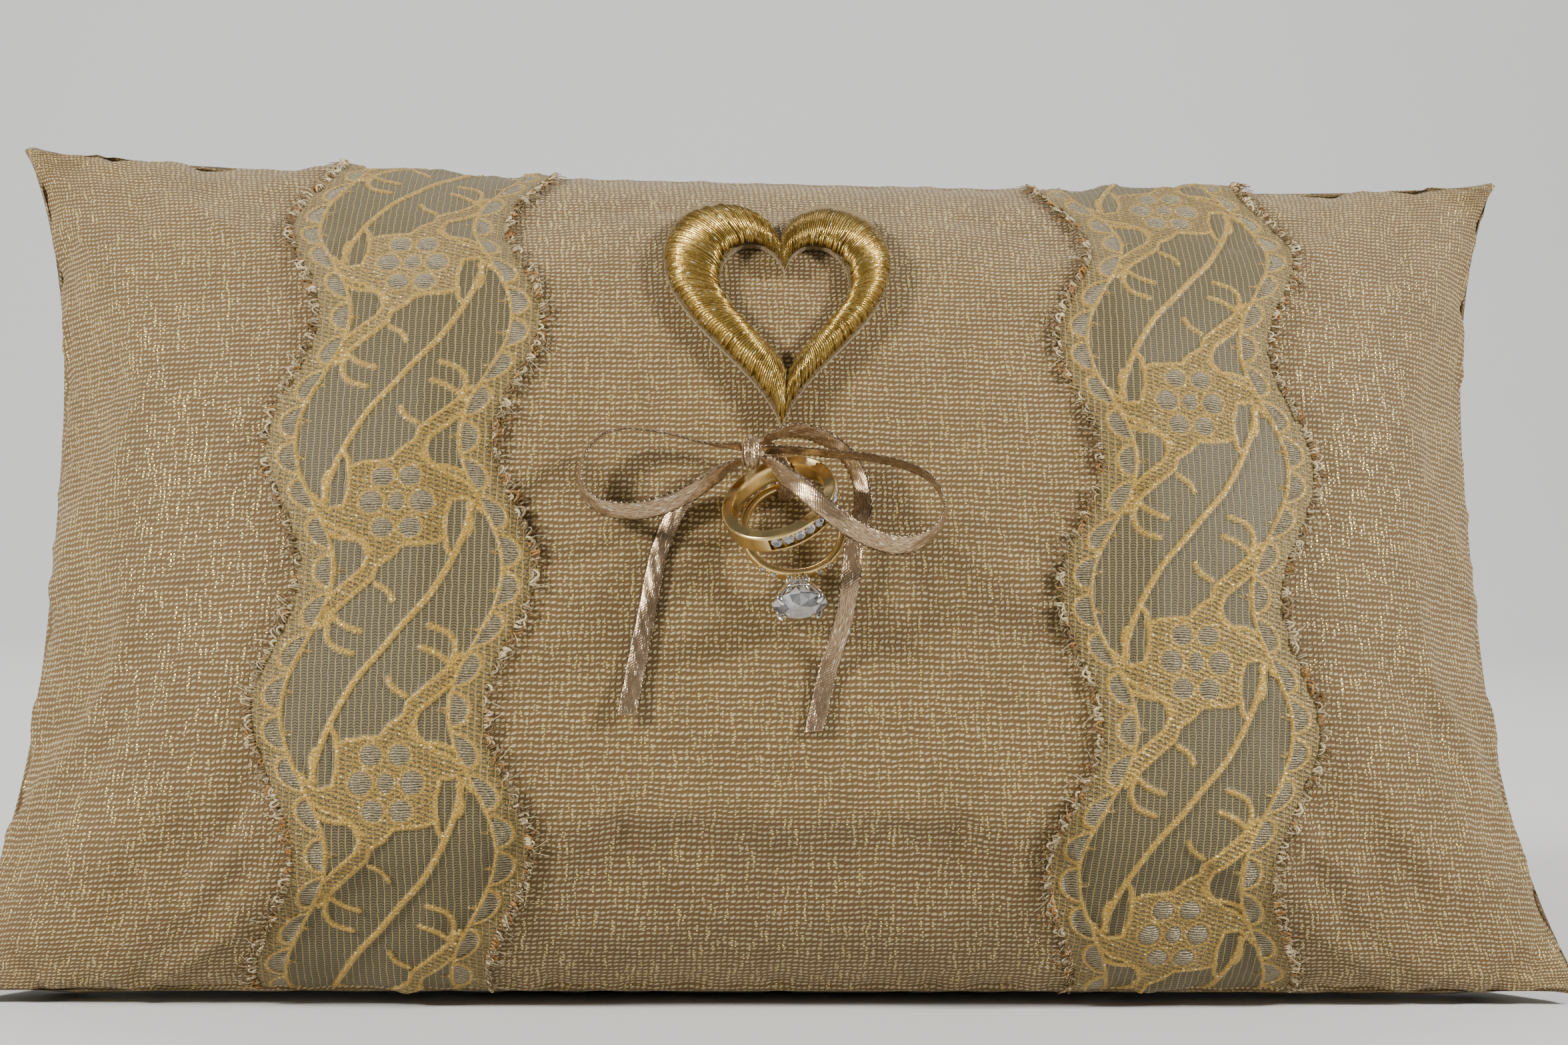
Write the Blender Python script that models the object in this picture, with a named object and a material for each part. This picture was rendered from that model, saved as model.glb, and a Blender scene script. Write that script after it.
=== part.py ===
"""Ring bearer pillow: a stuffed cover with two lace strips, an embroidered emblem,
and a ribbon bow that ties a wedding band and a solitaire ring to its front.

Metres, +Z up.  The pillow stands on its long lower side, its front faces -Y and leans back.
A place on the front is given as across (along X from the middle), up (from the lower seam
along the pillow's own height) and lift (out of the cloth, square to it).
"""
import math

import bmesh
import bpy
import numpy as np
from mathutils import Matrix, Vector

MM = 0.001
GAP = 0.3 * MM                     # between pieces that touch
CLOTH_GAP = 0.5 * MM               # between the curved cloth and what is sewn on it

# the cover and its filling
HALF_LENGTH_CORNER = 142.5 * MM    # from the middle to a corner
HALF_LENGTH_MIDDLE = 131.5 * MM    # the ends pull in between the corners
HEIGHT_CORNER = 158.5 * MM         # from lower seam to upper seam at the corners
HEIGHT_MIDDLE = 155.0 * MM
END_PULL_POWER = 3.0
TOP_PULL_POWER = 5.0
FRONT_BULGE_LOW = 38.0 * MM
FRONT_BULGE_HIGH = 35.0 * MM
BACK_BULGE_LOW = 46.0 * MM         # the filling has sunk towards the table
BACK_BULGE_HIGH = 36.0 * MM
BACK_LOW_SQUARENESS = 5.0          # how boxy the lower back is, 2 is a plain ellipse
LEAN = math.radians(15.5)
SEAM_FORWARD = 9.0 * MM            # the lower seam lies in front of the pillow's middle
CLOTH = 1.0 * MM
FILL_CLEARANCE = 1.2 * MM
CELLS_LONG = 26
CELLS_HIGH = 14

# lace strips
LACE_LOW = (-67.0 * MM, 66.5 * MM)  # across, at the lower seam
LACE_HIGH = (-66.5 * MM, 73.5 * MM)
LACE_NAMES = ("lace_strip_left", "lace_strip_right")
LACE_PHASES = (0.42, 0.97)         # where each strip's wave starts, in repeats
LACE_WIDTH = 40.0 * MM
LACE_WAVE = 3.6 * MM
LACE_REPEAT = 48.0 * MM
LACE_THICKNESS = 0.6 * MM
LACE_END_ANGLE = math.radians(87.0)
LACE_CELLS_LONG = 26
LACE_CELLS_WIDE = 4

# emblem: a padded heart outline
EMBLEM_ACROSS = -1.5 * MM
EMBLEM_UP = HEIGHT_MIDDLE - 38.0 * MM
EMBLEM_WIDTH = 40.0 * MM
EMBLEM_HEIGHT = 48.0 * MM
EMBLEM_HOLE = 0.6                  # size of the inner heart over the outer one
EMBLEM_HOLE_SHIFT = 1.1 * MM       # makes the left stroke the thicker one
EMBLEM_RISE = 2.6 * MM
FELT_THICKNESS = 0.8 * MM
FELT_MARGIN = 0.5 * MM
EMBLEM_STEPS = 56
EMBLEM_BANDS = 4

# ribbon
RIBBON_WIDTH = 3.3 * MM
RIBBON_THICKNESS = 0.45 * MM
RIBBON_STEP = 2.6 * MM
TIE_WIDTH = 2.2 * MM
TIE_THICKNESS = 0.4 * MM
KNOT_PLACE = (-7.2, 84.5, 11.0)
KNOT_SIZE = (2.6 * MM, 5.6 * MM, 3.3 * MM)
KNOT_ROUNDING = 0.9 * MM

# Ribbon routes: across, up, lift in millimetres, and turn in degrees, where 0 lies flat on
# the cloth and 90 stands on its edge.
LOOP_LEFT_ROUTE = (
    (-8.9, 85.6, 10.8, 90), (-11.5, 86.0, 10.3, 80), (-15.5, 86.9, 9.2, 70),
    (-19.5, 88.5, 8.2, 68), (-23.6, 89.8, 7.2, 66), (-28.0, 90.6, 6.2, 66),
    (-32.0, 89.7, 5.6, 70), (-34.6, 87.0, 5.4, 74), (-35.6, 83.3, 5.4, 76),
    (-34.9, 79.7, 5.6, 70), (-32.0, 77.1, 6.0, 56), (-28.0, 76.0, 6.8, 44),
    (-24.0, 76.1, 7.6, 38), (-20.0, 77.2, 8.2, 40), (-16.4, 78.9, 8.8, 50),
    (-13.0, 81.0, 9.8, 66), (-10.8, 82.4, 10.5, 82), (-8.9, 83.2, 10.8, 90),
)
LOOP_RIGHT_ROUTE = (
    (-5.3, 83.2, 10.8, 90), (-4.2, 82.7, 11.2, 84), (-3.1, 81.0, 13.0, 62),
    (-1.8, 78.9, 15.5, 42),
    (0.2, 76.2, 18.7, 26), (3.4, 72.8, 20.4, 20), (7.2, 70.1, 19.9, 20),
    (11.3, 68.9, 17.2, 24), (15.4, 68.4, 15.0, 34), (19.3, 69.4, 13.2, 50),
    (22.4, 71.5, 12.0, 66), (24.2, 74.6, 11.4, 78), (23.8, 78.2, 11.2, 84),
    (21.6, 81.0, 11.4, 88), (17.8, 82.6, 11.9, 90), (13.4, 83.3, 12.4, 90),
    (9.4, 83.6, 12.8, 90), (5.4, 83.8, 13.0, 90), (1.2, 84.2, 12.8, 90),
    (-2.4, 84.8, 11.8, 90), (-5.3, 85.1, 11.0, 90),
)
TAIL_LEFT_ROUTE = (
    (-9.1, 83.6, 7.4, 50), (-11.6, 83.6, 6.2, 40), (-14.4, 82.4, 4.8, 28),
    (-17.0, 80.4, 3.4, 16), (-19.3, 77.8, 2.4, 8), (-21.0, 74.6, 1.5, 6),
    (-22.2, 71.2, 1.2, 8), (-23.1, 67.4, 1.2, 10), (-23.9, 63.0, 1.2, 8),
    (-24.7, 58.4, 1.2, 4), (-25.5, 54.0, 1.2, 0), (-26.3, 49.6, 1.3, -4),
    (-27.0, 45.8, 1.6, -6), (-27.5, 42.6, 2.0, -8),
)
TAIL_RIGHT_ROUTE = (
    (-5.3, 86.9, 10.8, 90), (-3.4, 87.9, 10.4, 84), (-1.0, 89.2, 9.2, 76),
    (1.4, 89.8, 7.9, 70), (4.0, 89.8, 6.5, 64), (6.6, 89.0, 5.3, 60),
    (9.0, 87.3, 4.4, 56), (10.8, 84.8, 3.8, 50), (11.8, 81.6, 3.8, 40),
    (11.8, 78.2, 4.4, 26), (11.0, 74.8, 5.6, 14), (10.0, 71.2, 6.9, 8),
    (9.5, 67.6, 7.6, 4), (9.1, 64.0, 7.2, 0), (8.6, 60.4, 5.6, -4),
    (7.9, 57.0, 3.8, -6), (6.9, 53.6, 2.2, -6), (5.8, 50.0, 1.5, -4),
    (5.0, 46.4, 1.3, 0), (4.2, 43.0, 1.4, 4), (3.5, 39.9, 1.7, 6),
)
TIE_ROUTE = (
    (-6.6, 85.4, 8.2), (-4.4, 84.8, 8.8), (-2.7, 84.0, 9.5), (-1.8, 82.9, 9.1),
    (-1.4, 81.8, 7.2), (-1.3, 81.0, 5.0), (-1.3, 80.4, 3.2), (-1.3, 80.1, 1.6),
    (-1.3, 80.7, 0.6), (-1.3, 82.4, 0.5), (-1.4, 84.4, 0.6), (-1.8, 86.6, 1.2),
    (-3.0, 88.2, 2.8), (-4.6, 88.8, 5.0), (-6.4, 88.2, 7.0), (-7.4, 86.6, 8.0),
)

# rings: places are in millimetres across, up and out of the cloth at the ring seat
RING_SEAT = (-1.5, 76.0)
BAND_PIVOT = (-2.3, 83.0)
SOLITAIRE_PIVOT = (-0.3, 82.2)
BAND_INNER_RADIUS = 7.9 * MM
BAND_WALL = 2.0 * MM
BAND_WIDTH = 3.4 * MM
BAND_HANG = (-1.05, 83.07, 7.18)   # where the hoop's inside lies on the tie
BAND_AXIS = (-0.344, 0.470, 0.812)
BAND_STONES = 9
BAND_STONE_DIAMETER = 1.7 * MM
BAND_CHANNEL_DEPTH = 1.0 * MM
BAND_CHANNEL_START = math.radians(-92.0)
BAND_EASE = 0.3 * MM               # how far the edges are taken off
SOLITAIRE_INNER_RADIUS = 7.6 * MM
SOLITAIRE_WALL = 1.4 * MM
SOLITAIRE_WIDTH = 2.0 * MM
SHOULDER_WIDTH = 3.0 * MM
SOLITAIRE_HANG = (0.05, 81.33, 2.45)
SOLITAIRE_AXIS = (-0.05, 0.139, 0.989)
SOLITAIRE_HEAD_LEAN = math.radians(4.0)
SIDE_STONE_DIAMETER = 1.3 * MM
SIDE_STONE_ANGLES = (-38.0, -26.0, 26.0, 38.0)
SIDE_STONE_POCKET = 0.75 * MM      # depth of each seat in the shank
SIDE_STONE_GAP = 0.2 * MM
SHANK_EASE = 0.25 * MM
MAIN_STONE_DIAMETER = 9.2 * MM
MAIN_STONE_SIDES = 16
MAIN_STONE_STANDOFF = 4.6 * MM     # from the shank's outside to the stone's girdle
SMALL_STONE_SIDES = 8
STONE_TABLE = 0.56                 # width of a stone's flat top over its whole width
STONE_POINT = 0.12                 # width of its lower end over its whole width
STONE_GIRDLE = 0.03                # heights over the stone's diameter
STONE_CROWN = 0.15
SMALL_STONE_DEPTH = 0.28
PRONG_SIZE = 0.9 * MM
PRONG_BEND = 0.1 * MM
PRONG_INSET = 0.72 * MM            # how far the prongs' feet lie inside the base's edge
HEAD_BASE_RADIUS = 1.7 * MM
HEAD_BASE_HEIGHT = 0.9 * MM
RING_STEPS = 48


# ---------------------------------------------------------------- the pillow's shape

def half_length(t):
    """Half of the pillow's length at height t, -1 at the lower seam and 1 at the upper."""
    ear = HALF_LENGTH_CORNER - HALF_LENGTH_MIDDLE
    return HALF_LENGTH_MIDDLE + ear * np.abs(t) ** END_PULL_POWER


def half_height(s):
    """Half of the pillow's height at s, -1 and 1 at the two ends."""
    ear = HEIGHT_CORNER - HEIGHT_MIDDLE
    return (HEIGHT_MIDDLE + ear * np.abs(s) ** TOP_PULL_POWER) / 2


def bulge(s, t, side):
    """How far the cloth stands out of the pillow's middle plane, on the front or the back."""
    rise = (1 + t) / 2
    across = np.sqrt(np.clip(1 - s * s, 0, 1))
    ellipse = np.sqrt(np.clip(1 - t * t, 0, 1))
    if side > 0:
        return (FRONT_BULGE_LOW + (FRONT_BULGE_HIGH - FRONT_BULGE_LOW) * rise) * across * ellipse
    power = BACK_LOW_SQUARENESS
    boxy = np.clip(1 - np.abs(t) ** power, 0, 1) ** (1 / power)
    along = np.where(t < 0, boxy, ellipse)
    return (BACK_BULGE_LOW + (BACK_BULGE_HIGH - BACK_BULGE_LOW) * rise) * across * along


def lean_back(across, up, out):
    """World place of a point given along, up and out of the pillow's middle plane."""
    y = up * math.sin(LEAN) - out * math.cos(LEAN)
    z = up * math.cos(LEAN) + out * math.sin(LEAN)
    return np.stack([across, y, z], axis=-1)


def skin(s, t, side, inset=0.0, floor=0.0):
    """A layer of the pillow, inset from its outside; what would pass the table lies flat on it."""
    s = np.asarray(s, dtype=float)
    t = np.asarray(t, dtype=float)
    across = s * (half_length(t) - inset)
    half = half_height(s)
    up = half + t * (half - inset)
    full = bulge(s, t, side)
    peak = FRONT_BULGE_LOW if side > 0 else BACK_BULGE_LOW
    out = SEAM_FORWARD * ((1 - t) / 2) ** 3 + side * (GAP / 2 + full * (1 - inset / peak))
    places = lean_back(across, up, out)
    places[..., 2] = np.maximum(places[..., 2], floor)
    return places


def face_place(across, up, lift=0.0):
    """Places on the front of the pillow, raised from the cloth, and the cloth's normals."""
    across = np.asarray(across, dtype=float)
    up = np.asarray(up, dtype=float)
    t = up / half_height(np.zeros_like(up)) - 1
    s = across / half_length(t)
    for _ in range(12):
        t = np.clip(up / half_height(s) - 1, -1, 1)
        s = np.clip(across / half_length(t), -1, 1)
    return lifted(s, t, lift)


def lifted(s, t, lift):
    """Places on the front at s and t, raised from the cloth, and the cloth's normals."""
    small = 1e-4
    along_s = skin(np.clip(s + small, -1, 1), t, 1) - skin(np.clip(s - small, -1, 1), t, 1)
    along_t = skin(s, np.clip(t + small, -1, 1), 1) - skin(s, np.clip(t - small, -1, 1), 1)
    normal = np.cross(along_s, along_t)
    normal /= np.linalg.norm(normal, axis=-1, keepdims=True)
    return skin(s, t, 1) + normal * np.asarray(lift)[..., None], normal


def seat_frame(across, up, lift=0.0):
    """Axes on the cloth at one place: X across, Y up the face, Z out of the cloth."""
    place, normal = face_place(across * MM, up * MM, lift * MM)
    out = Vector(normal).normalized()
    side = Vector((1, 0, 0))
    side = (side - out * side.dot(out)).normalized()
    upward = out.cross(side)
    frame = Matrix.Identity(4)
    for column, axis in enumerate((side, upward, out, Vector(place))):
        frame[0][column] = axis.x
        frame[1][column] = axis.y
        frame[2][column] = axis.z
    return frame


# ---------------------------------------------------------------- making objects

def material(name, colour, roughness, metallic):
    shade = bpy.data.materials.new(name)
    shade.use_nodes = True
    surface = shade.node_tree.nodes["Principled BSDF"]
    surface.inputs["Base Color"].default_value = (*colour, 1.0)
    surface.inputs["Roughness"].default_value = roughness
    surface.inputs["Metallic"].default_value = metallic
    return shade


def add_object(name, mesh, shade, parent, smooth=True):
    """Put a mesh in the scene as one named piece with its faces pointing out."""
    form = bmesh.new()
    form.from_mesh(mesh)
    bmesh.ops.recalc_face_normals(form, faces=form.faces)
    if form.calc_volume(signed=True) < 0:
        bmesh.ops.reverse_faces(form, faces=form.faces)
    form.to_mesh(mesh)
    form.free()
    if smooth:
        mesh.shade_smooth()
        mesh.set_sharp_from_angle(angle=math.radians(40))
    piece = bpy.data.objects.new(name, mesh)
    piece.data.materials.append(shade)
    piece.parent = parent
    bpy.context.scene.collection.objects.link(piece)
    return piece


def mesh_of(name, places, faces):
    mesh = bpy.data.meshes.new(name)
    mesh.from_pydata([tuple(p) for p in np.asarray(places).reshape(-1, 3)], [], faces)
    mesh.validate()
    return mesh


def sheet_between(name, outer, inner):
    """A closed body between two grids of places that lie over each other."""
    rows, columns = outer.shape[:2]
    count = rows * columns
    index = np.arange(count).reshape(rows, columns)
    faces = []
    for i in range(rows - 1):
        for j in range(columns - 1):
            quad = (index[i, j], index[i + 1, j], index[i + 1, j + 1], index[i, j + 1])
            faces.append(tuple(int(k) for k in quad))
            faces.append(tuple(int(k) + count for k in reversed(quad)))
    border = [index[i, 0] for i in range(rows)]
    border += [index[-1, j] for j in range(1, columns)]
    border += [index[i, -1] for i in range(rows - 2, -1, -1)]
    border += [index[0, j] for j in range(columns - 2, 0, -1)]
    for a, b in zip(border, border[1:] + border[:1]):
        faces.append((int(b), int(a), int(a) + count, int(b) + count))
    return mesh_of(name, np.concatenate([outer.reshape(-1, 3), inner.reshape(-1, 3)]), faces)


def tube_of(name, rings, closed=False):
    """A closed body through rings of places; open tubes get flat ends."""
    steps, sides = rings.shape[:2]
    faces = []
    last = steps if closed else steps - 1
    for i in range(last):
        for j in range(sides):
            near = i * sides
            far = ((i + 1) % steps) * sides
            k = (j + 1) % sides
            faces.append((near + j, near + k, far + k, far + j))
    if not closed:
        faces.append(tuple(range(sides - 1, -1, -1)))
        faces.append(tuple((steps - 1) * sides + j for j in range(sides)))
    return mesh_of(name, rings, faces)


def cut(piece, other, operation="DIFFERENCE"):
    """Keep a Boolean on a piece and hide what it is made with."""
    other.hide_render = True
    other.display_type = "WIRE"
    modifier = piece.modifiers.new(other.name, "BOOLEAN")
    modifier.operation = operation
    modifier.solver = "EXACT"
    modifier.object = other


# ---------------------------------------------------------------- cover and filling

def angle_grid(cells_long, cells_high):
    """Grid of s and t whose steps get shorter towards the seams."""
    s = np.sin(np.linspace(-math.pi / 2, math.pi / 2, cells_long + 1))
    t = np.sin(np.linspace(-math.pi / 2, math.pi / 2, cells_high + 1))
    return np.meshgrid(s, t, indexing="ij")


def make_cover(parent):
    linen = material("linen_cloth", (0.42, 0.32, 0.19), 0.8, 0.1)
    s, t = angle_grid(CELLS_LONG, CELLS_HIGH)
    for name, side in (("cover_front_panel", 1), ("cover_back_panel", -1)):
        outer = skin(s, t, side)
        inner = skin(s, t, side, CLOTH, CLOTH)
        add_object(name, sheet_between(name, outer, inner), linen, parent)


def make_filling(parent):
    fibre = material("fibre_filling", (0.85, 0.85, 0.82), 0.95, 0.0)
    s, t = angle_grid(CELLS_LONG, CELLS_HIGH)
    inset = CLOTH + FILL_CLEARANCE
    front = skin(s, t, 1, inset, inset)
    back = skin(s, t, -1, inset, inset)
    mesh = sheet_between("fibre_filling", front, back)
    add_object("fibre_filling", mesh, fibre, parent)


# ---------------------------------------------------------------- lace strips

def lace_wave(distance, phase):
    """Sideways swing of a strip's two edges at a distance along the strip."""
    return LACE_WAVE * np.cos(2 * math.pi * (distance / LACE_REPEAT + phase))


def make_lace(name, low, high, phase, parent):
    """A waving strip over the front, from the lower seam to the upper seam."""
    lace = material(name, (0.5, 0.38, 0.16), 0.5, 0.5)
    angles = np.linspace(-LACE_END_ANGLE, LACE_END_ANGLE, LACE_CELLS_LONG + 1)
    t = np.sin(angles)
    offset = low + (high - low) * (1 + t) / 2
    middle = skin(offset / half_length(t), t, 1)
    steps = np.linalg.norm(np.diff(middle, axis=0), axis=-1)
    distance = np.concatenate([[0.0], np.cumsum(steps)])
    share = np.linspace(-0.5, 0.5, LACE_CELLS_WIDE + 1)
    across = (offset + lace_wave(distance, phase))[:, None] + share[None, :] * LACE_WIDTH
    t = np.repeat(t[:, None], share.size, axis=1)
    s = across / half_length(t)
    outer = lifted(s, t, CLOTH_GAP + LACE_THICKNESS + 0 * s)[0]
    inner = lifted(s, t, CLOTH_GAP + 0 * s)[0]
    return add_object(name, sheet_between(name, outer, inner), lace, parent)


# ---------------------------------------------------------------- emblem

def heart(turn, scale=1.0, margin=0.0):
    """Outline of a heart of width and height one, about its middle."""
    x = 16 * np.sin(turn) ** 3
    y = 13 * np.cos(turn) - 5 * np.cos(2 * turn) - 2 * np.cos(3 * turn) - np.cos(4 * turn)
    x = x / 32 * scale * (EMBLEM_WIDTH + 2 * margin)
    y = (y + 2.5) / 29 * scale * (EMBLEM_HEIGHT + 2 * margin)
    return x, y


def heart_band(share, margin=0.0):
    """Across and up places of the band between the inner and the outer heart."""
    turn = np.linspace(0, 2 * math.pi, EMBLEM_STEPS, endpoint=False)
    outer_x, outer_y = heart(turn, 1.0, margin)
    inner_x, inner_y = heart(turn, EMBLEM_HOLE, -margin / EMBLEM_HOLE)
    inner_x = inner_x + EMBLEM_HOLE_SHIFT
    x = inner_x[:, None] + share[None, :] * (outer_x - inner_x)[:, None]
    y = inner_y[:, None] + share[None, :] * (outer_y - inner_y)[:, None]
    return EMBLEM_ACROSS + x, EMBLEM_UP + y


def make_emblem(parent):
    felt = material("emblem_felt", (0.3, 0.22, 0.08), 0.95, 0.0)
    thread = material("gold_thread", (0.45, 0.32, 0.07), 0.35, 0.9)
    share = np.array([0.0, 0.5, 1.0])
    across, up = heart_band(share, FELT_MARGIN)
    low = face_place(across, up, CLOTH_GAP + 0 * up)[0]
    high = face_place(across, up, CLOTH_GAP + FELT_THICKNESS + 0 * up)[0]
    rings = np.concatenate([low, high[:, ::-1]], axis=1)
    add_object("emblem_felt_pad", tube_of("emblem_felt_pad", rings, True), felt, parent)
    share = np.linspace(0, 1, EMBLEM_BANDS + 1)
    across, up = heart_band(share)
    base = CLOTH_GAP + FELT_THICKNESS + GAP
    low = face_place(across[:, ::2], up[:, ::2], base + 0 * up[:, ::2])[0]
    rise = 0.4 * MM + EMBLEM_RISE * np.sqrt(np.clip(1 - (2 * share - 1) ** 2, 0, 1))
    high = face_place(across, up, base + rise[None, :] + 0 * up)[0]
    rings = np.concatenate([low, high[:, ::-1]], axis=1)
    add_object("emblem_satin_stitch", tube_of("emblem_satin_stitch", rings, True), thread, parent)


# ---------------------------------------------------------------- ribbon bow

def smooth_route(route, step, closed=False):
    """Points at even steps on a smooth curve through a route's own points."""
    points = np.array(route, dtype=float)
    if closed:
        ends = np.concatenate([points[-1:], points, points[:2]])
    else:
        before = 2 * points[:1] - points[1:2]
        after = 2 * points[-1:] - points[-2:-1]
        ends = np.concatenate([before, points, after])
    fine = []
    for i in range(1, len(ends) - 2):
        a, b, c, d = ends[i - 1:i + 3]
        for x in np.linspace(0, 1, 12, endpoint=False):
            fine.append(0.5 * (2 * b + (c - a) * x + (2 * a - 5 * b + 4 * c - d) * x ** 2
                               + (3 * b - a - 3 * c + d) * x ** 3))
    fine.append(ends[-2])
    fine = np.array(fine)
    lengths = np.linalg.norm(np.diff(fine[:, :3], axis=0), axis=1)
    travel = np.concatenate([[0.0], np.cumsum(lengths)])
    count = max(int(round(travel[-1] * MM / step)), 4)
    marks = np.linspace(0, travel[-1], count + 1)
    if closed:
        marks = marks[:-1]
    return np.stack([np.interp(marks, travel, fine[:, k]) for k in range(fine.shape[1])], axis=1)


def ribbon_rings(route, width, thickness, closed=False):
    """Four-cornered rings along a ribbon that turns as its route says."""
    path = smooth_route(route, RIBBON_STEP if not closed else RIBBON_STEP / 2, closed)
    places, normals = face_place(path[:, 0] * MM, path[:, 1] * MM, path[:, 2] * MM)
    if closed:
        ahead = np.roll(places, -1, axis=0) - np.roll(places, 1, axis=0)
        turn = None
    else:
        ahead = np.gradient(places, axis=0)
        turn = np.radians(path[:, 3])
    ahead /= np.linalg.norm(ahead, axis=1, keepdims=True)
    if turn is None:
        side = np.tile(np.array([1.0, 0.0, 0.0]), (len(places), 1))
        side -= ahead * np.sum(side * ahead, axis=1, keepdims=True)
        wide = side / np.linalg.norm(side, axis=1, keepdims=True)
    else:
        flat = np.cross(normals, ahead)
        flat /= np.linalg.norm(flat, axis=1, keepdims=True)
        upright = np.cross(ahead, flat)
        wide = flat * np.cos(turn)[:, None] + upright * np.sin(turn)[:, None]
    thin = np.cross(ahead, wide)
    corners = [wide * a * width / 2 + thin * b * thickness / 2
               for a, b in ((-1, -1), (1, -1), (1, 1), (-1, 1))]
    return np.stack([places + corner for corner in corners], axis=1)


def make_bow(parent):
    ribbon = material("metallic_ribbon", (0.4, 0.3, 0.2), 0.35, 0.7)
    routes = {
        "bow_loop_left": LOOP_LEFT_ROUTE,
        "bow_loop_right": LOOP_RIGHT_ROUTE,
        "ribbon_tail_left": TAIL_LEFT_ROUTE,
        "ribbon_tail_right": TAIL_RIGHT_ROUTE,
    }
    for name, route in routes.items():
        rings = ribbon_rings(route, RIBBON_WIDTH, RIBBON_THICKNESS)
        add_object(name, tube_of(name, rings), ribbon, parent, smooth=False)
    rings = ribbon_rings(TIE_ROUTE, TIE_WIDTH, TIE_THICKNESS, True)
    add_object("ring_tie_loop", tube_of("ring_tie_loop", rings, True), ribbon, parent, smooth=False)
    form = bmesh.new()
    bmesh.ops.create_cube(form, size=1.0)
    bmesh.ops.scale(form, vec=KNOT_SIZE, verts=form.verts)
    bmesh.ops.bevel(form, geom=form.edges[:] + form.verts[:], offset=KNOT_ROUNDING, segments=2,
                    affect="EDGES", profile=0.5)
    form.transform(seat_frame(*KNOT_PLACE))
    mesh = bpy.data.meshes.new("bow_knot")
    form.to_mesh(mesh)
    form.free()
    add_object("bow_knot", mesh, ribbon, parent)


# ---------------------------------------------------------------- rings

def axes_at(frame, hang, radius, axis, lean=0.0):
    """World frame of a ring: Z is its axis, Y its top, where its inside hangs on the tie."""
    out = Vector(axis).normalized()
    top = Vector((0, 1, 0))
    top = (top - out * top.dot(out)).normalized()
    side = top.cross(out)
    local = Matrix.Identity(4)
    for column, direction in enumerate((side, top, out)):
        local[0][column] = direction.x
        local[1][column] = direction.y
        local[2][column] = direction.z
    shift = Vector((hang[0] - RING_SEAT[0], hang[1] - RING_SEAT[1], hang[2])) * MM - top * radius
    return frame @ Matrix.Translation(shift) @ local @ Matrix.Rotation(lean, 4, "Z")


def hoop(name, section, steps, start=0.0, sweep=2 * math.pi):
    """A profile of (radius, height) corners carried round the Z axis."""
    closed = sweep > 2 * math.pi - 1e-6
    turns = np.linspace(start, start + sweep, steps + 1)
    if closed:
        turns = turns[:-1]
    corners = np.array(section)
    if corners.ndim == 2:
        corners = np.repeat(corners[None], len(turns), axis=0)
    x = corners[:, :, 0] * np.cos(turns)[:, None]
    y = corners[:, :, 0] * np.sin(turns)[:, None]
    return tube_of(name, np.stack([x, y, corners[:, :, 1]], axis=-1), closed)


def eased_box(low, high, half, ease):
    """Corners of a box section from radius low to high with its edges taken off."""
    return [(low + ease, -half), (high - ease, -half), (high, -half + ease), (high, half - ease),
            (high - ease, half), (low + ease, half), (low, half - ease), (low, -half + ease)]


def gem(name, diameter, sides, depth):
    """A round cut stone: flat table, crown, thin girdle and pavilion, its table at +Z."""
    radius = diameter / 2
    girdle = STONE_GIRDLE * diameter
    crown = STONE_CROWN * diameter
    turns = np.linspace(0, 2 * math.pi, sides, endpoint=False)
    levels = ((STONE_TABLE * radius, crown + girdle), (radius, girdle), (radius, 0.0),
              (STONE_POINT * radius, -depth))
    rings = [np.stack([r * np.cos(turns), r * np.sin(turns), z + 0 * turns], axis=-1)
             for r, z in levels]
    return tube_of(name, np.stack(rings))


def place_mesh(mesh, world, pivot):
    """Move a mesh from its own axes to the world, measured from its pivot."""
    mesh.transform(Matrix.Translation(-pivot.matrix_world.translation) @ world)
    return mesh


def make_band(frame, pivot):
    gold = material("yellow_gold", (0.75, 0.55, 0.22), 0.22, 1.0)
    stone = material("small_stones", (0.9, 0.92, 0.95), 0.03, 0.0)
    world = axes_at(frame, BAND_HANG, BAND_INNER_RADIUS, BAND_AXIS)
    outer = BAND_INNER_RADIUS + BAND_WALL
    section = eased_box(BAND_INNER_RADIUS, outer, BAND_WIDTH / 2, BAND_EASE)
    mesh = hoop("wedding_band", section, RING_STEPS)
    band = add_object("wedding_band", place_mesh(mesh, world, pivot), gold, pivot)
    seat = outer - BAND_CHANNEL_DEPTH
    seat_radius = seat + BAND_CHANNEL_DEPTH / 2
    pitch = (BAND_STONE_DIAMETER + GAP) / seat_radius
    half_slot = BAND_STONE_DIAMETER / 2 + GAP
    slot = [(seat, -half_slot), (outer + BAND_WALL, -half_slot), (outer + BAND_WALL, half_slot),
            (seat, half_slot)]
    sweep = pitch * BAND_STONES + GAP / seat_radius
    mesh = hoop("band_channel_cutter", slot, 3 * BAND_STONES, BAND_CHANNEL_START, sweep)
    cutter = add_object("band_channel_cutter", place_mesh(mesh, world, pivot), gold, pivot)
    cut(band, cutter)
    for number in range(BAND_STONES):
        angle = BAND_CHANNEL_START + pitch * (number + 0.5) + GAP / 2 / seat_radius
        name = f"band_stone_{number + 1}"
        depth = SMALL_STONE_DEPTH * BAND_STONE_DIAMETER
        mesh = gem(name, BAND_STONE_DIAMETER, SMALL_STONE_SIDES, depth)
        local = (Matrix.Rotation(angle, 4, "Z") @ Matrix.Translation((seat + depth + GAP, 0, 0))
                 @ Matrix.Rotation(math.pi / 2, 4, "Y"))
        add_object(name, place_mesh(mesh, world @ local, pivot), stone, pivot, smooth=False)


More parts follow.
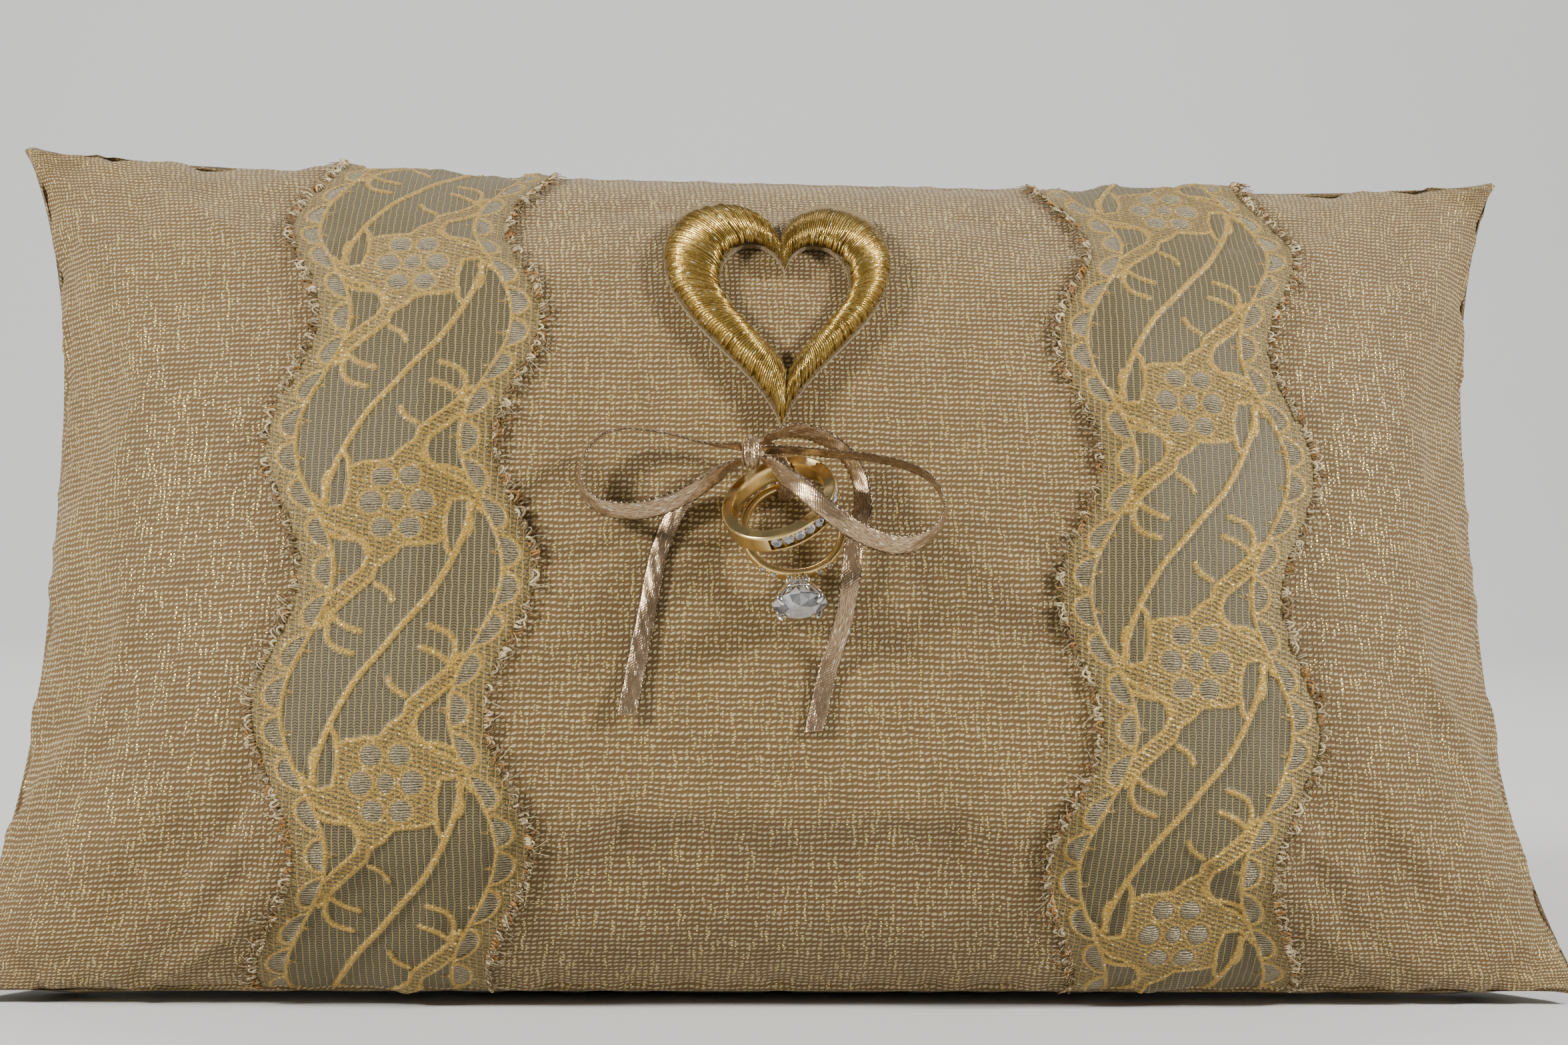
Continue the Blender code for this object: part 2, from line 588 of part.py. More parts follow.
def make_shank(world, pivot, gold):
    """Thin hoop that widens into two shoulders beside the head, with seats for side stones."""
    outer = SOLITAIRE_INNER_RADIUS + SOLITAIRE_WALL
    turns = np.linspace(0, 2 * math.pi, RING_STEPS, endpoint=False)
    near_head = np.clip(-np.sin(turns), 0, 1) ** 6
    widths = SOLITAIRE_WIDTH + (SHOULDER_WIDTH - SOLITAIRE_WIDTH) * near_head
    sections = [eased_box(SOLITAIRE_INNER_RADIUS, outer, width / 2, SHANK_EASE)
                for width in widths]
    mesh = hoop("solitaire_shank", sections, RING_STEPS)
    shank = add_object("solitaire_shank", place_mesh(mesh, world, pivot), gold, pivot)
    stone = material("side_stones", (0.9, 0.92, 0.95), 0.03, 0.0)
    for number, degrees in enumerate(SIDE_STONE_ANGLES):
        around = Matrix.Rotation(math.radians(degrees - 90), 4, "Z")
        pocket = SIDE_STONE_DIAMETER / 2 + SIDE_STONE_GAP
        form = bmesh.new()
        bmesh.ops.create_cone(form, cap_ends=True, segments=12, radius1=pocket,
                              radius2=pocket, depth=2 * SIDE_STONE_POCKET)
        form.transform(Matrix.Translation((outer, 0, 0)) @ Matrix.Rotation(math.pi / 2, 4, "Y"))
        form.transform(around)
        mesh = bpy.data.meshes.new(f"side_seat_cutter_{number + 1}")
        form.to_mesh(mesh)
        form.free()
        cutter = add_object(mesh.name, place_mesh(mesh, world, pivot), gold, pivot)
        cut(shank, cutter)
        name = f"solitaire_side_stone_{number + 1}"
        depth = SMALL_STONE_DEPTH * SIDE_STONE_DIAMETER
        mesh = gem(name, SIDE_STONE_DIAMETER, SMALL_STONE_SIDES, depth)
        height = outer - SIDE_STONE_POCKET + depth + SIDE_STONE_GAP
        local = (around @ Matrix.Translation((height, 0, 0))
                 @ Matrix.Rotation(math.pi / 2, 4, "Y"))
        add_object(name, place_mesh(mesh, world @ local, pivot), stone, pivot, smooth=False)


def prong(name, foot, tip, over):
    """A square bar from the head's base up beside the stone, bent in over its edge."""
    half = PRONG_SIZE / 2
    rings = []
    for place, size in ((foot, half), (tip, half), (over, 0.7 * half)):
        x, z = place
        ring = [(x - size, -size, z), (x + size, -size, z), (x + size, size, z), (x - size, size, z)]
        rings.append(ring)
    return tube_of(name, np.array(rings))


def make_head(world, pivot):
    """Four prongs on a small base that hold the large stone below the shank."""
    white = material("white_gold", (0.85, 0.83, 0.8), 0.12, 1.0)
    clear = material("large_stone", (0.95, 0.96, 0.98), 0.02, 0.0)
    outer = SOLITAIRE_INNER_RADIUS + SOLITAIRE_WALL
    local = (Matrix.Rotation(-math.pi / 2, 4, "Z") @ Matrix.Translation((outer, 0, 0))
             @ Matrix.Rotation(math.pi / 2, 4, "Y"))
    at_head = world @ local
    form = bmesh.new()
    bmesh.ops.create_cone(form, cap_ends=True, segments=16, radius1=HEAD_BASE_RADIUS,
                          radius2=HEAD_BASE_RADIUS, depth=HEAD_BASE_HEIGHT)
    form.transform(Matrix.Translation((0, 0, GAP + HEAD_BASE_HEIGHT / 2)))
    mesh = bpy.data.meshes.new("solitaire_head")
    form.to_mesh(mesh)
    form.free()
    head = add_object("solitaire_head", place_mesh(mesh, at_head, pivot), white, pivot)
    reach = MAIN_STONE_DIAMETER / 2 + GAP + PRONG_SIZE / 2
    top = MAIN_STONE_STANDOFF + STONE_GIRDLE * MAIN_STONE_DIAMETER + GAP
    for number in range(4):
        name = f"prong_{number + 1}"
        foot = (HEAD_BASE_RADIUS - PRONG_INSET, GAP + HEAD_BASE_HEIGHT / 3)
        tip = (reach - PRONG_BEND, top + PRONG_SIZE)
        mesh = prong(name, foot, (reach, MAIN_STONE_STANDOFF), tip)
        mesh.transform(Matrix.Rotation(math.radians(45 + 90 * number), 4, "Z"))
        bar = add_object(name, place_mesh(mesh, at_head, pivot), white, pivot)
        cut(head, bar, "UNION")
    pavilion = MAIN_STONE_STANDOFF - HEAD_BASE_HEIGHT - 2 * GAP
    mesh = gem("solitaire_stone", MAIN_STONE_DIAMETER, MAIN_STONE_SIDES, pavilion)
    mesh.transform(Matrix.Translation((0, 0, MAIN_STONE_STANDOFF)))
    add_object("solitaire_stone", place_mesh(mesh, at_head, pivot), clear, pivot, smooth=False)


def make_rings(parent):
    """Both rings hang on the tie and swing on it, square to the cloth."""
    frame = seat_frame(*RING_SEAT)
    pivots = []
    for name, place in (("wedding_band_pivot", BAND_PIVOT), ("solitaire_pivot", SOLITAIRE_PIVOT)):
        shift = Vector(((place[0] - RING_SEAT[0]) * MM, (place[1] - RING_SEAT[1]) * MM, 0))
        pivot = bpy.data.objects.new(name, None)
        pivot.location = (frame @ Matrix.Translation(shift)).translation
        pivot.parent = parent
        bpy.context.scene.collection.objects.link(pivot)
        pivots.append(pivot)
    bpy.context.view_layer.update()
    make_band(frame, pivots[0])
    gold = material("shank_gold", (0.75, 0.55, 0.22), 0.22, 1.0)
    world = axes_at(frame, SOLITAIRE_HANG, SOLITAIRE_INNER_RADIUS, SOLITAIRE_AXIS,
                    SOLITAIRE_HEAD_LEAN)
    make_shank(world, pivots[1], gold)
    make_head(world, pivots[1])


# ---------------------------------------------------------------- the whole pillow

CORD_NAMES = ("bow_knot", "bow_loop_left", "bow_loop_right", "ribbon_tail_left",
              "ribbon_tail_right", "ring_tie_loop")


def centre_on_origin(frame):
    """Slide the pillow along Y so that its box without the bow is centred over the origin."""
    bpy.context.view_layer.update()
    low = math.inf
    high = -math.inf
    for piece in bpy.context.scene.objects:
        if piece.type != "MESH" or piece.hide_render or piece.name in CORD_NAMES:
            continue
        depths = [(piece.matrix_world @ corner.co).y for corner in piece.data.vertices]
        low = min(low, min(depths))
        high = max(high, max(depths))
    frame.location.y = -(low + high) / 2


def build():
    for old in list(bpy.data.objects):
        bpy.data.objects.remove(old, do_unlink=True)
    frame = bpy.data.objects.new("pillow_frame", None)
    bpy.context.scene.collection.objects.link(frame)
    make_cover(frame)
    make_filling(frame)
    for name, low, high, phase in zip(LACE_NAMES, LACE_LOW, LACE_HIGH, LACE_PHASES):
        make_lace(name, low, high, phase, frame)
    make_emblem(frame)
    make_bow(frame)
    make_rings(frame)
    centre_on_origin(frame)


build()
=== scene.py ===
"""Looks of a ring bearer pillow: a stuffed cover of woven cloth with metal thread, two strips of
metal lace, a padded heart in satin stitch, and a bow of narrow ribbon that ties on a wedding
band and a solitaire ring."""
import math

import bmesh
import bpy
import numpy as np
from mathutils import Matrix, Vector


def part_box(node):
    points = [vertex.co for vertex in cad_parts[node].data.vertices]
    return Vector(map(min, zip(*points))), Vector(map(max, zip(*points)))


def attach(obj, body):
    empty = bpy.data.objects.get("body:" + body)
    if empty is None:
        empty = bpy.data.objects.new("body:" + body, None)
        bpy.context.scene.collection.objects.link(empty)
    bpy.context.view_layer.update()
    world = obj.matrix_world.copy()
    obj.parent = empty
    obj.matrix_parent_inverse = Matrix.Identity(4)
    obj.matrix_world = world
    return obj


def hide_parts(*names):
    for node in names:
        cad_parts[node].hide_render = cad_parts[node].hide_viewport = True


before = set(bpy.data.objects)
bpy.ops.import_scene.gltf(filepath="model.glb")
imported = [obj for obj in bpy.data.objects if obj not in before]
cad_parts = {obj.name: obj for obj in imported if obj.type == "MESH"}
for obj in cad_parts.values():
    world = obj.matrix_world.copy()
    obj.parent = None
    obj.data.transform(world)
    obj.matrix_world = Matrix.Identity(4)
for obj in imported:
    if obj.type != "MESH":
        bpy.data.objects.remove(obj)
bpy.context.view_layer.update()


# ---------------------------------------------------------------- camera
# A short telephoto view of the pillow's front, from just below the middle of its height and a
# little to the left, with the hand's slight tilt.
MM = 0.001
CAMERA_LENS = 56.57
CAMERA_PLACE = Vector((-29.9, -449.7, 83.1)) * MM
CAMERA_YAW = math.radians(3.91)
CAMERA_PITCH = math.radians(0.08)
CAMERA_ROLL = math.radians(0.83)

forward = Vector((math.sin(CAMERA_YAW), math.cos(CAMERA_YAW), math.sin(CAMERA_PITCH))).normalized()
level = Vector((math.cos(CAMERA_YAW), -math.sin(CAMERA_YAW), 0))
upward = level.cross(forward)
camera = bpy.data.objects.new("front_camera", bpy.data.cameras.new("front_camera"))
camera.data.lens = CAMERA_LENS
camera.data.sensor_width = 36
camera.data.clip_start = 0.01
turned = Matrix((level * math.cos(CAMERA_ROLL) + upward * math.sin(CAMERA_ROLL),
                 upward * math.cos(CAMERA_ROLL) - level * math.sin(CAMERA_ROLL),
                 -forward)).transposed()
camera.matrix_world = Matrix.Translation(CAMERA_PLACE) @ turned.to_4x4()
bpy.context.scene.collection.objects.link(camera)
bpy.context.scene.camera = camera


# ---------------------------------------------------------------- ribbon bow
# One length of narrow metallic ribbon with picot edges, tied in a bow through both rings.  Its
# places are given over the pillow's front: across, up along the face and lift out of the cloth.
HALF_LENGTH_CORNER = 142.5 * MM
HALF_LENGTH_MIDDLE = 131.5 * MM
HEIGHT_CORNER = 158.5 * MM
HEIGHT_MIDDLE = 155.0 * MM
FRONT_BULGE = (38.0 * MM, 35.0 * MM)      # low and high
BACK_BULGE = (46.0 * MM, 36.0 * MM)
BACK_LOW_SQUARENESS = 5.0
LEAN = math.radians(15.5)
SEAM_FORWARD = 9.0 * MM


def half_length(t):
    """Half of the pillow's length at height t: it grows with the cube of t towards the corners."""
    return HALF_LENGTH_MIDDLE + (HALF_LENGTH_CORNER - HALF_LENGTH_MIDDLE) * np.abs(t) ** 3


def half_height(s):
    """Half of its height at s: it grows with the fifth power of s towards the ends."""
    return (HEIGHT_MIDDLE + (HEIGHT_CORNER - HEIGHT_MIDDLE) * np.abs(s) ** 5) / 2


def skin(s, t, side, inset=0.0):
    """The pillow's outside at s along and t up, each from -1 to 1.

    An ellipse in both directions, fuller below; the lower back is a rounded box.  The whole
    leans back, and what would pass the table lies flat on it."""
    s = np.asarray(s, dtype=float)
    t = np.asarray(t, dtype=float)
    rise = (1 + t) / 2
    ellipse = np.sqrt(np.clip(1 - t * t, 0, 1))
    low, high = FRONT_BULGE if side > 0 else BACK_BULGE
    if side < 0:
        boxy = np.clip(1 - np.abs(t) ** BACK_LOW_SQUARENESS, 0, 1) ** (1 / BACK_LOW_SQUARENESS)
        ellipse = np.where(t < 0, boxy, ellipse)
    full = (low + (high - low) * rise) * np.sqrt(np.clip(1 - s * s, 0, 1)) * ellipse
    half = half_height(s)
    up = half + t * (half - inset)
    out = SEAM_FORWARD * ((1 - t) / 2) ** 3 + side * full * (1 - inset / low)
    y = up * math.sin(LEAN) - out * math.cos(LEAN) + SLIDE
    z = np.maximum(up * math.cos(LEAN) + out * math.sin(LEAN), inset)
    return np.stack([s * (half_length(t) - inset), y, z], axis=-1)


SLIDE = 0.0
angles = np.linspace(-math.pi / 2, math.pi / 2, 27)
cad_grid = np.meshgrid(np.sin(angles), np.sin(np.linspace(-math.pi / 2, math.pi / 2, 15)))
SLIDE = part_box("cover_front_panel")[0].y - skin(*cad_grid, 1)[..., 1].min()


def unit(arrows):
    """The same directions with a length of one."""
    return arrows / np.maximum(np.linalg.norm(arrows, axis=-1, keepdims=True), 1e-12)


def outward(s, t, side, small):
    """The plain shape's normals, from its slopes over a small step both ways."""
    along_s = skin(np.clip(s + small, -1, 1), t, side) - skin(np.clip(s - small, -1, 1), t, side)
    along_t = skin(s, np.clip(t + small, -1, 1), side) - skin(s, np.clip(t - small, -1, 1), side)
    return unit(np.cross(along_s, along_t) * side)


def lifted(s, t, lift):
    """Places on the front raised along the cloth's normal, and the normals."""
    normal = outward(s, t, 1, 1e-4)
    return skin(s, t, 1) + normal * np.asarray(lift)[..., None], normal


def share_of(across, up):
    """The s and t of a place given across and up the face, found by a few rounds of repair."""
    t = up / half_height(0.0) - 1
    s = across / half_length(t)
    for _ in range(12):
        t = np.clip(up / half_height(s) - 1, -1, 1)
        s = np.clip(across / half_length(t), -1, 1)
    return s, t


def face_place(across, up, lift):
    """Places over the front in metres across, up and out, and the cloth's normals there."""
    s, t = share_of(np.asarray(across, dtype=float), np.asarray(up, dtype=float))
    return lifted(s, t, lift)


def seat_frame(across, up, lift=0.0):
    """Axes on the cloth at one place, in millimetres: X across, Y up the face, Z out."""
    place, normal = face_place(across * MM, up * MM, lift * MM)
    out = Vector(normal).normalized()
    side = Vector((1, 0, 0))
    side = (side - out * side.dot(out)).normalized()
    axes = Matrix((side, out.cross(side), out)).transposed().to_4x4()
    return Matrix.Translation(Vector(place)) @ axes


def grid_faces(rows, columns, around=False, start=0):
    """Corner numbers of the quads between neighbours in a grid; around joins its last column
    to its first."""
    r = np.arange(rows - 1)[:, None]
    c = np.arange(columns if around else columns - 1)[None, :]
    far = (c + 1) % columns
    quads = (r * columns + c, (r + 1) * columns + c, (r + 1) * columns + far, r * columns + far)
    return np.stack(quads, axis=-1).reshape(-1, 4) + start


def tube_faces(rows, around, start=0):
    """Faces of a tube of rings, each with an even number of corners, and of its two ends."""
    i = np.arange(around // 2 - 1)
    first = np.stack([i, i + 1, around - 2 - i, around - 1 - i], axis=-1) + start
    last = first[:, ::-1] + (rows - 1) * around
    return np.concatenate([grid_faces(rows, around, True, start), first, last])


def hoop_faces(rows, around):
    """Faces of a tube of rings that joins its last ring to its first."""
    return grid_faces(rows + 1, around, True) % (rows * around)


def turned_out(places, faces):
    """The same faces, reversed if the body that they close is inside out."""
    a = places[faces[:, 0]]
    volume = 0.0
    for k in range(1, faces.shape[1] - 1):
        crossed = np.cross(places[faces[:, k]], places[faces[:, k + 1]])
        volume += np.sum(a * crossed)
    return faces[:, ::-1] if volume < 0 else faces


def add_piece(name, places, faces, shade, uv=None, masks=None, closed=True, smooth=True):
    """Put a mesh in the scene with its material, UV map and per-corner masks."""
    places = np.asarray(places, dtype=float).reshape(-1, 3)
    faces = np.asarray(faces)
    if closed:
        faces = turned_out(places, faces)
    mesh = bpy.data.meshes.new(name)
    mesh.from_pydata(places.tolist(), [], faces.tolist())
    if uv is not None:
        layer = mesh.uv_layers.new(name="threads")
        layer.data.foreach_set("uv", np.asarray(uv).reshape(-1, 2)[faces.ravel()].ravel())
    for key, value in (masks or {}).items():
        mask = mesh.attributes.new(key, "FLOAT", "POINT")
        mask.data.foreach_set("value", np.asarray(value, dtype=float).ravel())
    mesh.polygons.foreach_set("use_smooth", np.full(len(faces), smooth))
    mesh.update()
    piece = bpy.data.objects.new(name, mesh)
    mesh.materials.append(shade)
    bpy.context.scene.collection.objects.link(piece)
    return piece


def add_node(tree, kind, inputs=None, **settings):
    """One node of a material; its inputs are values or other nodes' sockets."""
    made = tree.nodes.new(kind)
    for key, value in settings.items():
        setattr(made, key, value)
    for key, value in (inputs or {}).items():
        if isinstance(value, bpy.types.NodeSocket):
            tree.links.new(value, made.inputs[key])
        else:
            made.inputs[key].default_value = value
    return made


def calc(tree, operation, a, b=0.0, c=0.0):
    """A Math node's answer."""
    made = add_node(tree, "ShaderNodeMath", {0: a, 1: b, 2: c}, operation=operation)
    return made.outputs[0]


def ramp(tree, value, low, high, to_low=0.0, to_high=1.0):
    """A smooth step of a value, from to_low at low to to_high at high."""
    made = add_node(tree, "ShaderNodeMapRange", {"Value": value, "From Min": low, "From Max": high,
                                                 "To Min": to_low, "To Max": to_high},
                    interpolation_type="SMOOTHSTEP")
    return made.outputs["Result"]


def noise(tree, place, scale, detail=2.0, **inputs):
    """Soft noise at a place, as a share from 0 to 1."""
    made = add_node(tree, "ShaderNodeTexNoise", {"Vector": place, "Scale": scale, "Detail": detail,
                                                 **inputs})
    return made.outputs["Fac"]


def threads(tree):
    """A piece's own flat places, in millimetres."""
    return add_node(tree, "ShaderNodeUVMap", uv_map="threads").outputs[0]


def mask(tree, name):
    """A number kept at a piece's corners or faces."""
    return add_node(tree, "ShaderNodeAttribute", attribute_name=name).outputs["Fac"]


def in_place(tree):
    """A piece's own places in space, in metres."""
    return add_node(tree, "ShaderNodeTexCoord").outputs["Object"]


def into_shader(tree, shader, relief=None, deep=0.0, strength=1.0, **answers):
    """Link a material's answers to its shader, and a relief of so much depth as a bump."""
    for key, value in answers.items():
        tree.links.new(value, shader.inputs[key.replace("_", " ")])
    if relief is not None:
        bump = add_node(tree, "ShaderNodeBump", {"Height": relief, "Distance": deep,
                                                 "Strength": strength})
        tree.links.new(bump.outputs[0], shader.inputs["Normal"])


def blend_colour(tree, share, low, high, blend="MIX"):
    """Two colours mixed by a share of the second."""
    made = tree.nodes.new("ShaderNodeMix")
    made.data_type = "RGBA"
    made.blend_type = blend
    for socket, value in (("Factor_Float", share), ("A_Color", low), ("B_Color", high)):
        target = next(s for s in made.inputs if s.identifier == socket)
        if isinstance(value, bpy.types.NodeSocket):
            tree.links.new(value, target)
        else:
            target.default_value = value if socket == "Factor_Float" else (*value, 1.0)
    return next(s for s in made.outputs if s.identifier == "Result_Color")


def new_material(name, metallic=0.0, roughness=0.5, **sockets):
    """A material and its tree and shader, with the values that are the same all over."""
    shade = bpy.data.materials.new(name)
    shade.use_nodes = True
    shader = shade.node_tree.nodes["Principled BSDF"]
    shader.inputs["Metallic"].default_value = metallic
    shader.inputs["Roughness"].default_value = roughness
    for key, value in sockets.items():
        shader.inputs[key.replace("_", " ").title().replace("Ior", "IOR")].default_value = value
    return shade, shade.node_tree, shader


def new_group(name, inputs, outputs):
    """An empty shader node group with its named sockets, and its two end nodes."""
    group = bpy.data.node_groups.new(name, "ShaderNodeTree")
    kinds = {"f": "NodeSocketFloat", "v": "NodeSocketVector", "c": "NodeSocketColor"}
    for key, kind in inputs:
        group.interface.new_socket(name=key, in_out="INPUT", socket_type=kinds[kind])
    for key, kind in outputs:
        group.interface.new_socket(name=key, in_out="OUTPUT", socket_type=kinds[kind])
    return group, group.nodes.new("NodeGroupInput"), group.nodes.new("NodeGroupOutput")


def use_group(tree, group, **inputs):
    """A group placed in a material with its own values."""
    made = tree.nodes.new("ShaderNodeGroup")
    made.node_tree = group
    for key, value in inputs.items():
        socket = made.inputs[key.replace("_", " ")]
        if isinstance(value, bpy.types.NodeSocket):
            tree.links.new(value, socket)
        else:
            socket.default_value = value
    return made


# Metal yarn: flat foil wound on a core, seen as short bright and dark flecks along the thread.
metal_yarn, ends_in, ends_out = new_group(
    "metal_yarn", [("Vector", "v"), ("Across", "f"), ("Along", "f"), ("Seed", "f")],
    [("Fleck", "f"), ("Glint", "f"), ("Height", "f")])
parts = add_node(metal_yarn, "ShaderNodeSeparateXYZ", {0: ends_in.outputs["Vector"]})
x = calc(metal_yarn, "MULTIPLY", parts.outputs[0], ends_in.outputs["Across"])
y = calc(metal_yarn, "MULTIPLY", parts.outputs[1], ends_in.outputs["Along"])
place = add_node(metal_yarn, "ShaderNodeCombineXYZ", {0: x, 1: y, 2: ends_in.outputs["Seed"]})
fleck = noise(metal_yarn, place.outputs[0], 1.0, Roughness=0.6)
cell = add_node(metal_yarn, "ShaderNodeTexVoronoi", {"Vector": place.outputs[0], "Scale": 0.8})
lot = add_node(metal_yarn, "ShaderNodeSeparateColor", {0: cell.outputs["Color"]})
near = ramp(metal_yarn, cell.outputs["Distance"], 0.45, 0.15)
glint = calc(metal_yarn, "MULTIPLY", ramp(metal_yarn, lot.outputs[0], 0.78, 0.86), near)
for key, value in (("Fleck", ramp(metal_yarn, fleck, 0.35, 0.65)), ("Glint", glint),
                   ("Height", calc(metal_yarn, "MULTIPLY_ADD", near, 0.5, fleck))):
    metal_yarn.links.new(value, ends_out.inputs[key])

RIBBON_WIDTH = 3.3 * MM
RIBBON_THICKNESS = 0.35 * MM
RIBBON_STEP = 0.22 * MM
RIBBON_CELLS = 12
RIBBON_CUP = 0.16 * MM
PICOT_PITCH = 1.05 * MM
PICOT_REACH = 0.26 * MM
TIE_WIDTH = 2.2 * MM
TIE_THICKNESS = 0.32 * MM

# across, up and lift in millimetres, and turn in degrees: 0 lies flat and 90 stands on edge
LOOP_LEFT_ROUTE = (
    (-8.9, 85.6, 10.8, 90), (-11.5, 86.0, 10.3, 80), (-15.5, 86.9, 9.2, 70),
    (-19.5, 88.5, 8.2, 68), (-23.6, 89.8, 7.2, 66), (-28.0, 90.6, 6.2, 66),
    (-32.0, 89.7, 5.6, 70), (-34.6, 87.0, 5.4, 74), (-35.6, 83.3, 5.4, 76),
    (-34.9, 79.7, 5.6, 70), (-32.0, 77.1, 6.0, 56), (-28.0, 76.0, 6.8, 44),
    (-24.0, 76.1, 7.6, 38), (-20.0, 77.2, 8.2, 40), (-16.4, 78.9, 8.8, 50),
    (-13.0, 81.0, 9.8, 66), (-10.8, 82.4, 10.5, 82), (-8.9, 83.2, 10.8, 90),
)
LOOP_RIGHT_ROUTE = (
    (-5.3, 83.2, 10.8, 90), (-4.2, 82.7, 11.2, 84), (-3.1, 81.0, 13.0, 62),
    (-1.8, 78.9, 15.5, 42),
    (0.2, 76.2, 18.7, 26), (3.4, 72.8, 20.4, 20), (7.2, 70.1, 19.9, 20),
    (11.3, 68.9, 17.2, 24), (15.4, 68.4, 15.0, 34), (19.3, 69.4, 13.2, 50),
    (22.4, 71.5, 12.0, 66), (24.2, 74.6, 11.4, 78), (23.8, 78.2, 11.2, 84),
    (21.6, 81.0, 11.4, 88), (17.8, 82.6, 11.9, 90), (13.4, 83.3, 12.4, 90),
    (9.4, 83.6, 12.8, 90), (5.4, 83.8, 13.0, 90), (1.2, 84.2, 12.8, 90),
    (-2.4, 84.8, 11.8, 90), (-5.3, 85.1, 11.0, 90),
)
TAIL_LEFT_ROUTE = (
    (-9.1, 83.6, 7.4, 50), (-11.6, 83.6, 6.2, 40), (-14.4, 82.4, 4.8, 28),
    (-17.0, 80.4, 3.4, 16), (-19.3, 77.8, 2.4, 8), (-21.0, 74.6, 1.5, 6),
    (-22.2, 71.2, 1.2, 8), (-23.1, 67.4, 1.2, 10), (-23.9, 63.0, 1.2, 8),
    (-24.7, 58.4, 1.2, 4), (-25.5, 54.0, 1.2, 0), (-26.3, 49.6, 1.3, -4),
    (-27.0, 45.8, 1.6, -6), (-27.5, 42.6, 2.0, -8),
)
TAIL_RIGHT_ROUTE = (
    (-5.3, 86.9, 10.8, 90), (-3.4, 87.9, 10.4, 84), (-1.0, 89.2, 9.2, 76),
    (1.4, 89.8, 7.9, 70), (4.0, 89.8, 6.5, 64), (6.6, 89.0, 5.3, 60),
    (9.0, 87.3, 4.4, 56), (10.8, 84.8, 3.8, 50), (11.8, 81.6, 3.8, 40),
    (11.8, 78.2, 4.4, 26), (11.0, 74.8, 5.6, 14), (10.0, 71.2, 6.9, 8),
    (9.5, 67.6, 7.6, 4), (9.1, 64.0, 7.2, 0), (8.6, 60.4, 5.6, -4),
    (7.9, 57.0, 3.8, -6), (6.9, 53.6, 2.2, -6), (5.8, 50.0, 1.5, -4),
    (5.0, 46.4, 1.3, 0), (4.2, 43.0, 1.4, 4), (3.5, 39.9, 1.7, 6),
)
TIE_ROUTE = (
    (-6.6, 85.4, 8.2, 0), (-4.4, 84.8, 8.8, 0), (-2.7, 84.0, 9.5, 0), (-1.8, 82.9, 9.1, 0),
    (-1.4, 81.8, 7.2, 0), (-1.3, 81.0, 5.0, 0), (-1.3, 80.4, 3.2, 0), (-1.3, 80.1, 1.6, 0),
    (-1.3, 80.7, 0.6, 0), (-1.3, 82.4, 0.5, 0), (-1.4, 84.4, 0.6, 0), (-1.8, 86.6, 1.2, 0),
    (-3.0, 88.2, 2.8, 0), (-4.6, 88.8, 5.0, 0), (-6.4, 88.2, 7.0, 0), (-7.4, 86.6, 8.0, 0),
)

ribbon_shade, tree, shader = new_material("metallic_ribbon", metallic=0.85, roughness=0.27)
uv = threads(tree)
yarn = use_group(tree, metal_yarn, Vector=uv, Across=5.0, Along=0.8, Seed=2.0)
axis = add_node(tree, "ShaderNodeSeparateXYZ", {0: uv})
slant = calc(tree, "MULTIPLY_ADD", axis.outputs[0], 0.9, axis.outputs[1])
twill = calc(tree, "SINE", calc(tree, "MULTIPLY", slant, 12.0))
edge = ramp(tree, calc(tree, "ABSOLUTE", axis.outputs[0]), 1.25, 1.6)
body = blend_colour(tree, yarn.outputs["Fleck"], (0.25, 0.160, 0.088), (0.50, 0.365, 0.225))
body = blend_colour(tree, yarn.outputs["Glint"], body, (0.95, 0.84, 0.70))
# darker towards both edges, most where the yarn's relief is low
dark_edge = calc(tree, "MULTIPLY", edge, ramp(tree, yarn.outputs["Height"], 0.9, 0.4, 0.25, 0.9))
into_shader(tree, shader, calc(tree, "MULTIPLY_ADD", twill, 0.25, yarn.outputs["Height"]), 0.05 * MM, 0.8,
            Base_Color=blend_colour(tree, dark_edge, body, (0.05, 0.035, 0.02)),
            Roughness=ramp(tree, yarn.outputs["Fleck"], 0.0, 1.0, 0.36, 0.22))


def smooth_route(route, step, closed=False):
    """Points at even steps on a Catmull-Rom curve through a route's own points."""
    points = np.array(route, dtype=float)
    if closed:
        ends = np.concatenate([points[-1:], points, points[:2]])
    else:
        before = 2 * points[:1] - points[1:2]
        after = 2 * points[-1:] - points[-2:-1]
        ends = np.concatenate([before, points, after])
    a, b, c, d = (ends[k:len(ends) - 3 + k, None, :] for k in range(4))
    x = np.linspace(0, 1, 12, endpoint=False)[None, :, None]
    fine = 0.5 * (2 * b + (c - a) * x + (2 * a - 5 * b + 4 * c - d) * x ** 2
                  + (3 * b - a - 3 * c + d) * x ** 3)
    fine = np.concatenate([fine.reshape(-1, points.shape[1]), ends[-2:-1]])
    lengths = np.linalg.norm(np.diff(fine[:, :3], axis=0), axis=1)
    travel = np.concatenate([[0.0], np.cumsum(lengths)])
    marks = np.linspace(0, travel[-1], int(round(travel[-1] * MM / step)) + 1)
    return np.stack([np.interp(marks, travel, fine[:, k]) for k in range(fine.shape[1])], axis=1)


